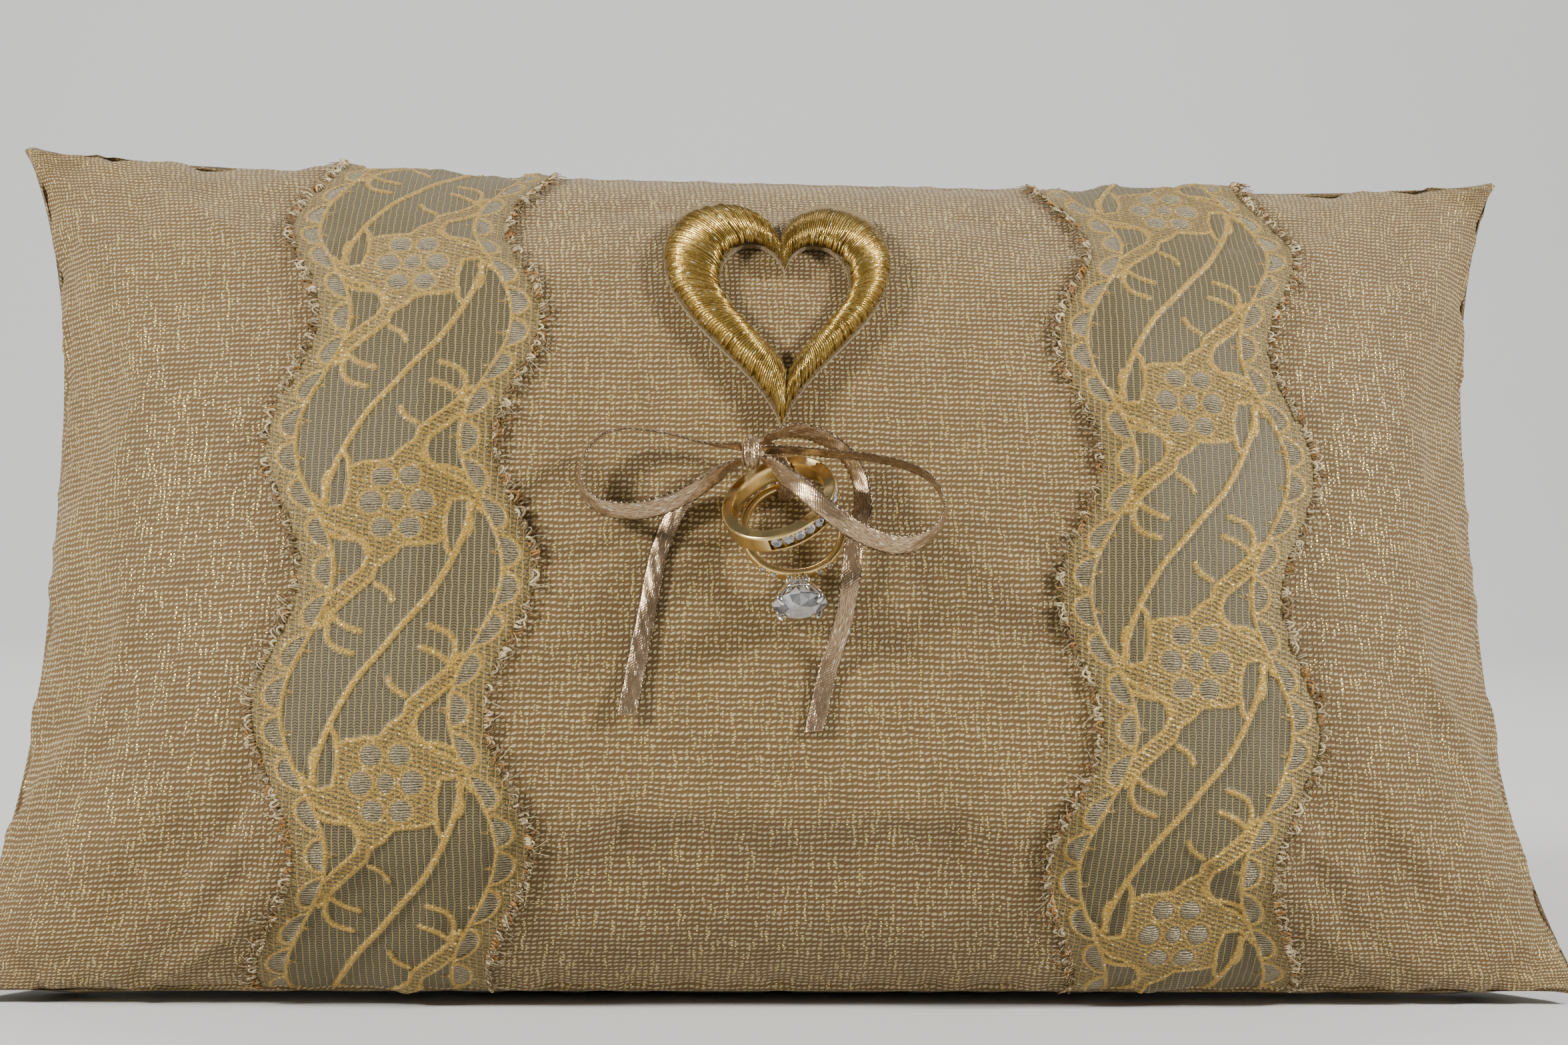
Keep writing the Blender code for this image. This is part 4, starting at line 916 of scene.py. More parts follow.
def lace_drawing(x, y):
    """What is woven where in the lace, from places in millimetres across and along.

    cord is raised line, fill the speckled solid parts, puff the satin ovals and windows, and
    height the relief in millimetres."""
    y = (y + LACE_REPEAT / 2) % LACE_REPEAT - LACE_REPEAT / 2
    cord = np.zeros(x.shape)
    fill = np.zeros(x.shape)
    puff = np.zeros(x.shape)
    height = np.zeros(x.shape)
    rosette = list(ROSETTE) + [(-a, -b) for a, b in ROSETTE]
    for shift in (-LACE_REPEAT, 0.0, LACE_REPEAT):
        near = y + shift
        body = inside_outline(x, near, rosette)
        outline = far_from_line(x, near, rosette + rosette[:1])
        fill = np.maximum(fill, np.where(body, 1.0, soft_edge(outline, 0.1)))
        cord = np.maximum(cord, soft_edge(outline, OUTLINE_HALF))
        for half_turn in (1, -1):
            far = far_from_line(half_turn * x, half_turn * (near - 24) + 24, curved(VINE))
            cord = np.maximum(cord, soft_edge(far, VINE_HALF))
            for tendril in TENDRILS:
                far = far_from_line(half_turn * x, half_turn * near, curved(tendril))
                cord = np.maximum(cord, soft_edge(far, TENDRIL_HALF))
        for a, b, wide, tall in OVALS:
            oval = np.hypot((x - a) / wide, (near - b) / tall)
            puff = np.maximum(puff, soft_edge(oval, 1.0, 0.12))
            cord = np.maximum(cord, soft_edge(np.abs(oval - 1.18), 0.1, 0.1))
            height = np.maximum(height, OVAL_HEIGHT * np.sqrt(np.clip(1 - oval ** 2, 0, 1)))
    sway = np.sin(2 * math.pi * y / LACE_REPEAT)
    pitch = LACE_REPEAT / WINDOWS
    for side in (-1, 1):
        out = side * (x + BORDER_WAVE * sway) - BORDER_MIDDLE
        step = (y * side + pitch / 4 + pitch / 2) % pitch - pitch / 2
        window = np.hypot(out / WINDOW_SIZE[0], step / WINDOW_SIZE[1])
        glass = soft_edge(window, 1.0, 0.1) * (out > 0.35)
        margin = out > 0
        fill = np.where(margin & (window > 1), np.maximum(fill, 0.6), fill)
        fill = np.where(margin & (window <= 1), 0.0, fill)
        cord = np.where(margin, 0.0, cord)
        puff = np.where(margin, glass, puff)
        height = np.where(margin & (window <= 1), 0.25 * (1 - window), height)
        cord = np.maximum(cord, np.where(margin, soft_edge(np.abs(window - 1.12), 0.11, 0.1), 0))
        thorn = soft_edge(np.abs(step) * 3.2 - out, 2.2, 0.4) * (out < 0.2) * (out > -2.3)
        cord = np.maximum(cord, soft_edge(np.abs(out), BORDER_HALF))
        fill = np.maximum(fill, thorn * soft_edge(np.abs(step), 0.75, 0.3))
    fill = fill * (1 - puff)
    cord = cord * (1 - 0.9 * puff)
    height = height + 0.34 * cord + 0.26 * fill * (1 - cord)
    return {"cord": cord, "fill": fill, "puff": puff}, height


lace_shade, tree, shader = new_material("metal_lace", roughness=0.5, Sheen_Weight=0.1)
uv = threads(tree)
cord, fill, puff = (mask(tree, key) for key in ("cord", "fill", "puff"))
axis = add_node(tree, "ShaderNodeSeparateXYZ", {0: uv})
wander = noise(tree, uv, 0.5)
rib_x = calc(tree, "MULTIPLY_ADD", wander, 0.5, axis.outputs[0])
rib_wave = calc(tree, "PINGPONG", calc(tree, "DIVIDE", rib_x, RIB_PITCH / 2), 1.0)
rib = ramp(tree, rib_wave, 0.72, 0.92)
zig = calc(tree, "MULTIPLY_ADD", rib_wave, 3.4, calc(tree, "MULTIPLY", axis.outputs[1], 13.0))
zig = calc(tree, "SINE", zig)
yarn = use_group(tree, metal_yarn, Vector=uv, Across=2.6, Along=3.4, Seed=7.0)
bright = use_group(tree, metal_yarn, Vector=uv, Across=1.7, Along=3.0, Seed=4.0)
ground = blend_colour(tree, ramp(tree, zig, -0.5, 0.9), (0.030, 0.022, 0.007), (0.150, 0.116, 0.042))
ground = blend_colour(tree, rib, ground, (0.26, 0.195, 0.066))
slant = calc(tree, "MULTIPLY_ADD", axis.outputs[0], 0.32, axis.outputs[1])
row = calc(tree, "SINE", calc(tree, "MULTIPLY_ADD", wander, 7.0,
                              calc(tree, "MULTIPLY", slant, 7.6)))
gold = blend_colour(tree, yarn.outputs["Fleck"], (0.15, 0.080, 0.010), (0.44, 0.285, 0.055))
gold = blend_colour(tree, bright.outputs["Glint"], gold, (0.90, 0.76, 0.42))
share = ramp(tree, row, -0.75, 0.35, 0.12, 1.0)
body = blend_colour(tree, calc(tree, "MULTIPLY", fill, share), ground, gold)
line = blend_colour(tree, yarn.outputs["Fleck"], (0.26, 0.145, 0.017), (0.53, 0.345, 0.062))
line = blend_colour(tree, bright.outputs["Glint"], line, (0.95, 0.80, 0.44))
body = blend_colour(tree, cord, body, line)
# painted light on the satin ovals: each thread is lighter on its crest and darker in the groove beside
# it, following the same wave as the bump
satin_wave = calc(tree, "SINE", calc(tree, "MULTIPLY_ADD", wander, 9.0,
                                     calc(tree, "MULTIPLY", axis.outputs[1], 15.0)))
satin = blend_colour(tree, ramp(tree, satin_wave, -0.5, 0.9), (0.038, 0.026, 0.009), (0.37, 0.300, 0.165))
satin = blend_colour(tree, bright.outputs["Fleck"], satin, (0.40, 0.335, 0.195))
satin = blend_colour(tree, ramp(tree, satin_wave, 0.2, -0.7, 0.0, 0.7), satin, (0.034, 0.023, 0.008))
body = blend_colour(tree, puff, body, satin)
solid = calc(tree, "MAXIMUM", calc(tree, "MAXIMUM", cord, fill), puff)
shine = calc(tree, "MULTIPLY", solid, calc(tree, "MULTIPLY_ADD", bright.outputs["Glint"], 0.45, 0.3))
relief = calc(tree, "MULTIPLY", rib, calc(tree, "SUBTRACT", 1.0, solid))
thread = calc(tree, "MULTIPLY_ADD", solid, 0.9, 0.3)
relief = calc(tree, "MULTIPLY_ADD", yarn.outputs["Height"], thread, relief)
relief = calc(tree, "MULTIPLY_ADD", row, calc(tree, "MULTIPLY", fill, 0.35), relief)
relief = calc(tree, "MULTIPLY_ADD", satin_wave, calc(tree, "MULTIPLY", puff, 0.4), relief)
into_shader(tree, shader, relief, 0.2 * MM, 0.9, Base_Color=body, Metallic=shine,
            Roughness=ramp(tree, solid, 0.0, 1.0, 0.6, 0.36))

fringe_shade, tree, shader = new_material("frayed_yarn", metallic=0.25, roughness=0.5)
uv = threads(tree)
yarn = use_group(tree, metal_yarn, Vector=uv, Across=4.0, Along=1.3, Seed=9.0)
lot = mask(tree, "lot")
body = blend_colour(tree, ramp(tree, lot, 0.25, 1.0), (0.13, 0.072, 0.016), (0.66, 0.55, 0.33))
body = blend_colour(tree, ramp(tree, lot, 0.16, 0.08), body, (0.34, 0.15, 0.025))
body = blend_colour(tree, yarn.outputs["Glint"], body, (0.95, 0.88, 0.70))
into_shader(tree, shader, yarn.outputs["Height"], 0.08 * MM, Base_Color=body)


def strand_bundle(name, paths, radius, sides, shade, lot):
    """Many thin tubes as one mesh: rings of corners round each path, pinched shut at both ends.

    paths is strands by points by three, and lot one number a strand for its colour."""
    strands, points = paths.shape[:2]
    ahead = unit(np.gradient(paths, axis=1))
    side = unit(np.cross(ahead, np.array([0.31, -0.47, 0.83])))
    over = np.cross(ahead, side)
    turn = np.linspace(0, 2 * math.pi, sides, endpoint=False)
    width = np.broadcast_to(np.asarray(radius, dtype=float).reshape(-1, 1), (strands, points)).copy()
    width[:, [0, -1]] *= 0.05
    ring = (side[:, :, None] * np.cos(turn)[:, None] + over[:, :, None] * np.sin(turn)[:, None])
    places = paths[:, :, None] + ring * width[:, :, None, None]
    starts = (np.arange(strands) * points * sides)[:, None, None]
    faces = tube_faces(points, sides)[None] + starts
    v = np.linspace(0, 1, points)[None, :, None] * 4 + np.arange(strands)[:, None, None] * 1.7
    u = np.broadcast_to(turn / 3, (strands, points, sides))
    uv = np.stack([u, np.broadcast_to(v, u.shape)], axis=-1)
    masks = {"lot": np.broadcast_to(np.asarray(lot)[:, None, None], u.shape)}
    return add_piece(name, places, faces.reshape(-1, 4), shade, uv, masks)


def lace_grid(low, high, phase, rows, share):
    """s, t, straight places across and along in millimetres, for rows up a strip and shares
    across it.  Both edges sway as a sine of the distance along, which is nought at a rosette."""
    t = np.sin(np.linspace(-LACE_END, LACE_END, rows))
    middle = low + (high - low) * (1 + t) / 2
    line = skin(middle / half_length(t), t, 1)
    step = np.linalg.norm(np.diff(line, axis=0), axis=-1)
    along = np.concatenate([[0.0], np.cumsum(step)]) / MM
    along = along - (0.25 - phase) * LACE_REPEAT
    sway = -LACE_WAVE * np.sin(2 * math.pi * along / LACE_REPEAT)
    x = sway[:, None] + share[None, :] * LACE_WIDTH
    across = middle[:, None] + x * MM
    t = np.repeat(t[:, None], share.size, axis=1)
    return across / half_length(t), t, x, np.repeat(along[:, None], share.size, axis=1)


def make_lace(name, node, low, high, phase, seed):
    """The strip as one fine grid over the settled cloth, its relief along the normal, and its
    frayed edges as loops and ends of yarn."""
    share = np.linspace(-0.5, 0.5, LACE_COLUMNS + 1)
    s, t, x, y = lace_grid(low, high, phase, LACE_ROWS + 1, share)
    masks, height = lace_drawing(x, y)
    rim = np.clip((0.5 - np.abs(share)) * LACE_WIDTH / 0.6, 0, 1)[None, :]
    hem = waves(y[:, :1], (1.3, 2.1, 3.7), seed) * 0.5 * (1 - rim) * np.sign(share)[None, :]
    s = s + hem * MM / half_length(t)
    places = cloth_place(s, t, 1, LACE_LIFT * (0.35 + 0.65 * rim) + height * MM * rim)
    strip = add_piece(name, places, grid_faces(LACE_ROWS + 1, LACE_COLUMNS + 1), lace_shade,
                      np.stack([x, y], axis=-1), masks, closed=False)
    lot = np.random.default_rng(seed)
    edges = []
    radii = []
    for side in (-1, 1):
        s, t, x, y = lace_grid(low, high, phase, FRAY_ROWS, np.array([side * 0.5]))
        base = cloth_place(s, t, 1, LACE_LIFT)[:, 0]
        normal = lifted(s, t, 0 * s)[1][:, 0]
        ahead = unit(np.gradient(base, axis=0))
        out = np.cross(ahead, normal) * side
        for count, points, thick in ((FRAY_LOOPS, 8, FRAY_RADIUS[0]), (FRAY_ENDS, 6, FRAY_RADIUS[1])):
            looped = points == 8
            start = lot.integers(1, len(base) - 1, count)
            share = np.linspace(0, 1, points)[None, :]
            reach = lot.uniform(0.6, 2.0, (count, 1))
            rise = lot.uniform(0.1, 0.9, (count, 1))
            lean = lot.uniform(-1.4, 1.4, (count, 1))
            if looped:
                go_out = reach * np.sin(math.pi * share) - 0.9
                go_up = rise * np.sin(math.pi * share) + 0.15
                go_on = lean * (share - 0.5) + 0.5 * np.cos(math.pi * share)
            else:
                go_out = 1.5 * reach * share - 0.4
                go_up = rise * np.sin(2.2 * share) + 0.1
                go_on = lean * share ** 1.6
            move = (out[start][:, None] * go_out[..., None] + normal[start][:, None] * go_up[..., None]
                    + ahead[start][:, None] * go_on[..., None])
            path = base[start][:, None] + move * MM
            if not looped:
                last = path[:, -1:] - path[:, -2:-1]
                path = np.concatenate([path, path[:, -1:] + last, path[:, -1:] + 1.4 * last], axis=1)
            edges.append(path)
            radii.append(lot.uniform(0.6, 1.2, count) * thick * MM)
    paths = np.concatenate(edges)
    fringe = strand_bundle(name + "_fringe", paths, np.concatenate(radii), 4, fringe_shade,
                           lot.uniform(0, 1, len(paths)))
    for piece in (strip, fringe):
        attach(piece, "pillow")
    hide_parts(node)


for number, (name, node, low, high, phase) in enumerate(LACE_STRIPS):
    make_lace(name, node, low, high, phase, 40 + number)


# ---------------------------------------------------------------- emblem
# A heart outline in padded satin stitch: gold thread laid side by side over a cord, on a backing
# of felt that shows as a thin rim.
EMBLEM_PLACE = (-1.5 * MM, HEIGHT_MIDDLE - 38.0 * MM)
EMBLEM_SIZE = (40.0 * MM, 48.0 * MM)
EMBLEM_HOLE = 0.6
EMBLEM_HOLE_SHIFT = 1.1 * MM
EMBLEM_BASE = 1.6 * MM
EMBLEM_RISE = 2.6 * MM
STITCHES = 270
STITCH_STEPS = 6
STITCH_CELLS = 16
STITCH_RELIEF = 0.26 * MM
STITCH_SPREAD = 0.55               # a stitch's width for its pattern
LOOSE_ENDS = 70
LOOSE_RADIUS = 0.07 * MM

felt_shade, tree, shader = new_material("backing_felt", roughness=0.95, Sheen_Weight=0.3)
spot = in_place(tree)
nap = noise(tree, spot, 2600.0, 4.0)
into_shader(tree, shader, nap, 0.25 * MM,
            Base_Color=blend_colour(tree, nap, (0.07, 0.042, 0.010), (0.27, 0.18, 0.055)))
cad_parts["emblem_felt_pad"].data.materials.clear()
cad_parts["emblem_felt_pad"].data.materials.append(felt_shade)

stitch_shade, tree, shader = new_material("gold_embroidery_thread", metallic=0.85, roughness=0.3)
uv = threads(tree)
yarn = use_group(tree, metal_yarn, Vector=uv, Across=1.4, Along=3.0, Seed=1.0)
lot = mask(tree, "lot")
groove_shade = mask(tree, "groove_shade")
body = blend_colour(tree, yarn.outputs["Fleck"], (0.13, 0.070, 0.009), (0.44, 0.285, 0.060))
body = blend_colour(tree, calc(tree, "MULTIPLY", lot, 0.5), body, (0.60, 0.42, 0.12))
body = blend_colour(tree, yarn.outputs["Glint"], body, (1.0, 0.93, 0.62))
# painted shade: the thread is darkened in the grooves between stitches
body = blend_colour(tree, calc(tree, "MULTIPLY", groove_shade, 0.8), body, (0.09, 0.05, 0.008))
into_shader(tree, shader, yarn.outputs["Height"], 0.06 * MM, Base_Color=body,
            Roughness=ramp(tree, yarn.outputs["Fleck"], 0.0, 1.0, 0.42, 0.2))


def heart_line(turn):
    """A heart of width and height one about its middle, from sines and cosines of one turn."""
    x = 16 * np.sin(turn) ** 3 / 32
    y = 13 * np.cos(turn) - 5 * np.cos(2 * turn) - 2 * np.cos(3 * turn) - np.cos(4 * turn)
    return x * EMBLEM_SIZE[0], (y + 2.5) / 29 * EMBLEM_SIZE[1]


def make_emblem():
    """Threads across the stroke: a half round arch from the inner to the outer heart, with one
    ridge for every stitch, evenly spaced round the middle of the stroke, and a flat base."""
    fine = np.linspace(0, 2 * math.pi, 4001)
    x, y = heart_line(fine)
    length = np.concatenate([[0.0], np.cumsum(np.hypot(np.diff(x), np.diff(y)))])
    rows = STITCHES * STITCH_STEPS
    turn = np.interp(np.linspace(0, length[-1], rows, endpoint=False), length, fine)
    lot = np.random.default_rng(8)
    stitch = np.arange(rows) // STITCH_STEPS
    phase = (np.arange(rows) % STITCH_STEPS) / STITCH_STEPS
    bed = lot.uniform(-0.09, 0.09, STITCHES)[stitch] * MM
    ends = lot.uniform(-0.022, 0.022, (2, STITCHES))[:, stitch]
    ridge = np.abs(np.sin(math.pi * phase)) ** 0.7
    share = np.linspace(0, 1, STITCH_CELLS + 1)[None, :]
    angle = np.pi * share
    spread = (1 - np.cos(angle)) / 2
    spread = spread + (ends[0][:, None] * (1 - spread) + ends[1][:, None] * spread) * 2
    outer_x, outer_y = heart_line(turn)
    inner_x, inner_y = outer_x * EMBLEM_HOLE + EMBLEM_HOLE_SHIFT, outer_y * EMBLEM_HOLE
    x = inner_x[:, None] + spread * (outer_x - inner_x)[:, None]
    y = inner_y[:, None] + spread * (outer_y - inner_y)[:, None]
    lift = EMBLEM_BASE + (EMBLEM_RISE * np.sin(angle) + 0.25 * MM) + bed[:, None]
    lift = lift + STITCH_RELIEF * (ridge[:, None] - 0.5) * (0.4 + 0.6 * np.sin(angle))
    lift = np.concatenate([lift, 0 * lift[:, :2] + EMBLEM_BASE], axis=1)
    x = np.concatenate([x, x[:, -1:], x[:, :1]], axis=1)
    y = np.concatenate([y, y[:, -1:], y[:, :1]], axis=1)
    s, t = share_of(EMBLEM_PLACE[0] + x, EMBLEM_PLACE[1] + y)
    places = cloth_place(s, t, 1, lift)
    around = x.shape[1]
    faces = hoop_faces(rows, around)
    u = np.concatenate([share * 9 + 0 * x[:, :-2], 0 * x[:, :2]], axis=1)
    v = np.repeat((np.arange(rows) * STITCH_SPREAD / STITCH_STEPS)[:, None], around, axis=1)
    # the second mask is painted shade, strongest between two stitches
    masks = {"lot": np.repeat(lot.uniform(0, 1, STITCHES)[stitch][:, None], around, axis=1),
             "groove_shade": np.repeat((1 - ridge)[:, None] ** 2, around, axis=1)}
    piece = add_piece("satin_stitch_heart", places, faces, stitch_shade, np.stack([u, v], axis=-1), masks)
    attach(piece, "pillow")
    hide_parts("emblem_satin_stitch")
    start = lot.integers(0, rows, LOOSE_ENDS)
    rim = np.where(lot.uniform(0, 1, LOOSE_ENDS) > 0.35, around - 3, 0)
    base = places.reshape(rows, around, 3)[start, rim]
    centre = places.reshape(rows, around, 3)[start, STITCH_CELLS // 2]
    away = unit(base - centre)
    share = np.linspace(0, 1, 7)[None, :, None]
    curl = lot.normal(0, 0.5, (LOOSE_ENDS, 1, 3)) * MM
    path = base[:, None] + away[:, None] * share * lot.uniform(0.6, 2.0, (LOOSE_ENDS, 1, 1)) * MM
    path = path + curl * share ** 2 + np.array([0, -0.25, 0.05]) * MM * share
    loose = strand_bundle("heart_thread_ends", path, np.full(LOOSE_ENDS, LOOSE_RADIUS), 4,
                          fringe_shade, lot.uniform(0.3, 0.9, LOOSE_ENDS))
    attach(loose, "pillow")


make_emblem()


# ---------------------------------------------------------------- rings
# A yellow gold wedding band with a channel of nine small stones, and a solitaire: a thin gold
# shank with small stones on its shoulders, and a white gold head of four claws round one large
# stone.  Both hang on the bow's tie.  Places are in millimetres at their seat on the cloth.
RING_SEAT = (-1.5, 76.0)
BAND_INNER = 7.9 * MM
BAND_OUTER = 9.9 * MM
BAND_HALF_WIDTH = 1.7 * MM
BAND_HANG = (-1.05, 83.07, 7.18)
BAND_AXIS = (-0.344, 0.470, 0.812)
BAND_STONES = 9
BAND_STONE = 1.7 * MM
CHANNEL_DEPTH = 1.0 * MM
CHANNEL_START = math.radians(-92.0)
STONE_GAP = 0.3 * MM
STONE_SINK = 0.42 * MM
BAND_EASE = 0.42 * MM
BAND_INSIDE_EASE = 0.1 * MM
SLOT_CLEARANCE = 0.25 * MM
SHANK_INNER = 7.6 * MM
SHANK_OUTER = 9.0 * MM
SHANK_WIDTH = 2.0 * MM
SHOULDER_WIDTH = 3.0 * MM
SOLITAIRE_HANG = (0.05, 81.33, 2.45)
SOLITAIRE_AXIS = (-0.05, 0.139, 0.989)
HEAD_LEAN = math.radians(4.0)
SIDE_STONE = 1.3 * MM
SIDE_STONE_ANGLES = (-38.0, -26.0, 26.0, 38.0)
MAIN_STONE = 9.2 * MM
STANDOFF = 4.6 * MM
# a claw's distance from the middle in halves of the stone, and its height in millimetres
CLAW_LINE = ((0.35, 0.1), (0.45, 1.4), (0.78, 3.1), (1.03, 4.5), (1.045, 5.2), (0.97, 5.75),
             (0.86, 5.95))

# Polished metal that has been worn: fine scratches in every direction and slightly dull patches.
worn_polish, ends_in, ends_out = new_group(
    "worn_polish", [("Vector", "v"), ("Scratches", "f")], [("Dull", "f"), ("Height", "f")])
broad = noise(worn_polish, ends_in.outputs["Vector"], 350.0, 3.0)
stretch = add_node(worn_polish, "ShaderNodeMapping", {"Vector": ends_in.outputs["Vector"],
                                                      "Scale": (1.0, 0.12, 0.12),
                                                      "Rotation": (0.4, 0.9, 0.3)})
hairline = noise(worn_polish, stretch.outputs[0], 9000.0)
worn_polish.links.new(ramp(worn_polish, broad, 0.35, 0.7), ends_out.inputs["Dull"])
worn_polish.links.new(calc(worn_polish, "MULTIPLY", hairline, ends_in.outputs["Scratches"]),
                      ends_out.inputs["Height"])


def metal_shade(name, clean, worn, roughness, scratches):
    """A polished precious metal with its own two colours and its wear."""
    shade, tree, shader = new_material(name, metallic=1.0, roughness=roughness)
    spot = in_place(tree)
    wear = use_group(tree, worn_polish, Vector=spot, Scratches=scratches)
    into_shader(tree, shader, wear.outputs["Height"], 0.01 * MM, 0.5,
                Base_Color=blend_colour(tree, wear.outputs["Dull"], clean, worn),
                Roughness=ramp(tree, wear.outputs["Dull"], 0.0, 1.0, roughness, roughness + 0.1))
    return shade


gold_shade = metal_shade("yellow_gold", (0.80, 0.60, 0.27), (0.72, 0.52, 0.21), 0.17, 1.0)
white_shade = metal_shade("white_gold", (0.86, 0.83, 0.78), (0.78, 0.74, 0.68), 0.08, 0.6)


def stone_shade(name, tint, clear):
    """Clear cut stone with painted reflections: every facet's colour is brighter or darker at random."""
    shade, tree, shader = new_material(name, roughness=0.0, Transmission_Weight=clear, Ior=2.0)
    facet = mask(tree, "facet")
    spot = in_place(tree)
    # painted reflections: each facet's colour runs from a tenth of the tint to the full tint at random
    body = blend_colour(tree, ramp(tree, facet, 0.1, 0.9), tuple(0.10 * v for v in tint), tint)
    haze = ramp(tree, noise(tree, spot, 900.0), 0.4, 0.6, 0.0, 0.1)
    into_shader(tree, shader, Base_Color=blend_colour(tree, haze, body, (0.80, 0.84, 0.95)))
    return shade


clear_shade = stone_shade("clear_stone", (0.98, 0.98, 1.0), 0.55)
small_shade = stone_shade("small_clear_stones", (0.93, 0.95, 1.0), 0.45)


def ring_axes(hang, radius, axis, lean=0.0):
    """World frame of a ring whose inside hangs at a place: Z is its axis and Y its top."""
    out = Vector(axis).normalized()
    top = Vector((0, 1, 0))
    top = (top - out * top.dot(out)).normalized()
    local = Matrix((top.cross(out), top, out)).transposed().to_4x4()
    shift = Vector((hang[0] - RING_SEAT[0], hang[1] - RING_SEAT[1], hang[2])) * MM - top * radius
    world = seat_frame(*RING_SEAT) @ Matrix.Translation(shift) @ local
    return np.array(world @ Matrix.Rotation(lean, 4, "Z"))


def into(world, places):
    """Places taken from a part's own axes to the world."""
    return places @ world[:3, :3].T + world[:3, 3]


def out_along(angle, radius):
    """Axes on a ring's outside at an angle round it: X along the ring and Z straight out."""
    ca, sa = math.cos(angle), math.sin(angle)
    local = np.eye(4)
    local[:3, 0] = (-sa, ca, 0)
    local[:3, 1] = (0, 0, 1)
    local[:3, 2] = (ca, sa, 0)
    local[:3, 3] = (radius * ca, radius * sa, 0)
    return local


def brilliant(diameter, crown, depth, sides=8):
    """Corners of a brilliant cut, table at +Z: an octagon table, eight star corners, a girdle of
    sixteen, eight corners low on the pavilion, and the point."""
    radius = diameter / 2
    girdle = 0.03 * diameter
    even = np.linspace(0, 2 * math.pi, sides, endpoint=False)
    odd = even + math.pi / sides
    both = np.linspace(0, 2 * math.pi, 2 * sides, endpoint=False)
    levels = ((even, 0.56, crown + girdle), (odd, 0.79, girdle + 0.56 * crown), (both, 1.0, girdle),
              (both, 1.0, 0.0), (odd, 0.24, -0.80 * depth), (even[:1], 0.0, -depth))
    return np.concatenate([np.stack([radius * r * np.cos(a), radius * r * np.sin(a), z + 0 * a], axis=-1)
                           for a, r, z in levels])


def make_stones(name, cuts, worlds, shade, body, nodes):
    """Cut stones as one mesh: the skin stretched over each stone's corners, flat on every facet,
    with a random number for each facet that paints a bright or dark reflection into its colour."""
    form = bmesh.new()
    for corners, world in zip(cuts, worlds):
        made = [form.verts.new(place) for place in into(world, corners).tolist()]
        bmesh.ops.convex_hull(form, input=made)
    bmesh.ops.recalc_face_normals(form, faces=form.faces)
    bmesh.ops.dissolve_limit(form, angle_limit=math.radians(1.0), verts=form.verts, edges=form.edges)
    bmesh.ops.split_edges(form, edges=form.edges)
    mesh = bpy.data.meshes.new(name)
    form.to_mesh(mesh)
    form.free()
    lot = np.random.default_rng(len(name))
    # painted light: a random brightness for each facet
    painted_facet_light = mesh.attributes.new("facet", "FLOAT", "FACE")
    painted_facet_light.data.foreach_set("value", lot.uniform(0, 1, len(mesh.polygons)))
    mesh.materials.append(shade)
    piece = bpy.data.objects.new(name, mesh)
    bpy.context.scene.collection.objects.link(piece)
    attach(piece, body)
    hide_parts(*nodes)


def make_band():
    """A hoop of an eased square section; within the channel the middle of its outside drops."""
    world = ring_axes(BAND_HANG, BAND_INNER, BAND_AXIS)
    seat = BAND_OUTER - CHANNEL_DEPTH
    seat_radius = seat + CHANNEL_DEPTH / 2
    pitch = (BAND_STONE + STONE_GAP) / seat_radius
    sweep = pitch * BAND_STONES + STONE_GAP / seat_radius
    end = CHANNEL_START + sweep
    turn = np.unique(np.concatenate([np.linspace(CHANNEL_START + 0.01, end - 0.01, 90),
                                     np.linspace(end, CHANNEL_START + 2 * math.pi, 150),
                                     CHANNEL_START + np.array([0.0, 0.01])]))[:-1][:, None]
    inside = (turn > CHANNEL_START + 0.005) & (turn < end - 0.005)
    floor = np.where(inside, seat, BAND_OUTER)
    half = BAND_HALF_WIDTH
    slot = BAND_STONE / 2 + SLOT_CLEARANCE
    ease = BAND_EASE * np.array([1.0, 0.62, 0.29, 0.08, 0.0])
    inside_ease = BAND_INNER + BAND_INSIDE_EASE * np.array([1, 0, 0, 0, 0, 1])
    radius = np.concatenate([inside_ease, BAND_OUTER - ease, [BAND_OUTER] * 4, BAND_OUTER - ease[::-1]])
    radius = radius[None, :] + 0 * turn
    radius[:, 12:14] = floor
    width = np.concatenate([[-half, 0.3 * MM - half, -half / 3, half / 3, half - 0.3 * MM, half],
                            half - ease[::-1], [slot, slot, -slot, -slot], ease - half])
    width = width[None, :] + 0 * radius
    places = np.stack([radius * np.cos(turn), radius * np.sin(turn), width], axis=-1)
    rows, around = radius.shape
    faces = hoop_faces(rows, around)
    band = add_piece("gold_band", into(world, places), faces, gold_shade)
    band.data.set_sharp_from_angle(angle=math.radians(38))
    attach(band, "wedding_band")
    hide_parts("wedding_band")
    first = CHANNEL_START + STONE_GAP / 2 / seat_radius
    worlds = [world @ out_along(first + pitch * (k + 0.5), BAND_OUTER - STONE_SINK)
              for k in range(BAND_STONES)]
    cut = brilliant(BAND_STONE + 0.15 * MM, 0.26 * MM, 0.5 * MM)
    make_stones("channel_stones", [cut] * BAND_STONES, worlds, small_shade, "wedding_band",
                [f"band_stone_{k + 1}" for k in range(BAND_STONES)])


def tube_along(points, radii, sides=14):
    """A round tube by Catmull-Rom through a few points in millimetres, its radius read off the
    same way, and its ends closed to the axis: places and faces."""
    path = smooth_route([(*p, r) for p, r in zip(points, radii)], 0.12 * MM) * MM
    line = path[:, :3]
    ahead = unit(np.gradient(line, axis=0))
    side = unit(np.cross(ahead, np.array([0.2, 0.9, 0.3])))
    over = np.cross(ahead, side)
    turn = np.linspace(0, 2 * math.pi, sides, endpoint=False)
    radius = path[:, 3].copy()
    radius[[0, -1]] = 1e-6
    ring = side[:, None] * np.cos(turn)[:, None] + over[:, None] * np.sin(turn)[:, None]
    return (line[:, None] + ring * radius[:, None, None]).reshape(-1, 3), tube_faces(len(line), sides)


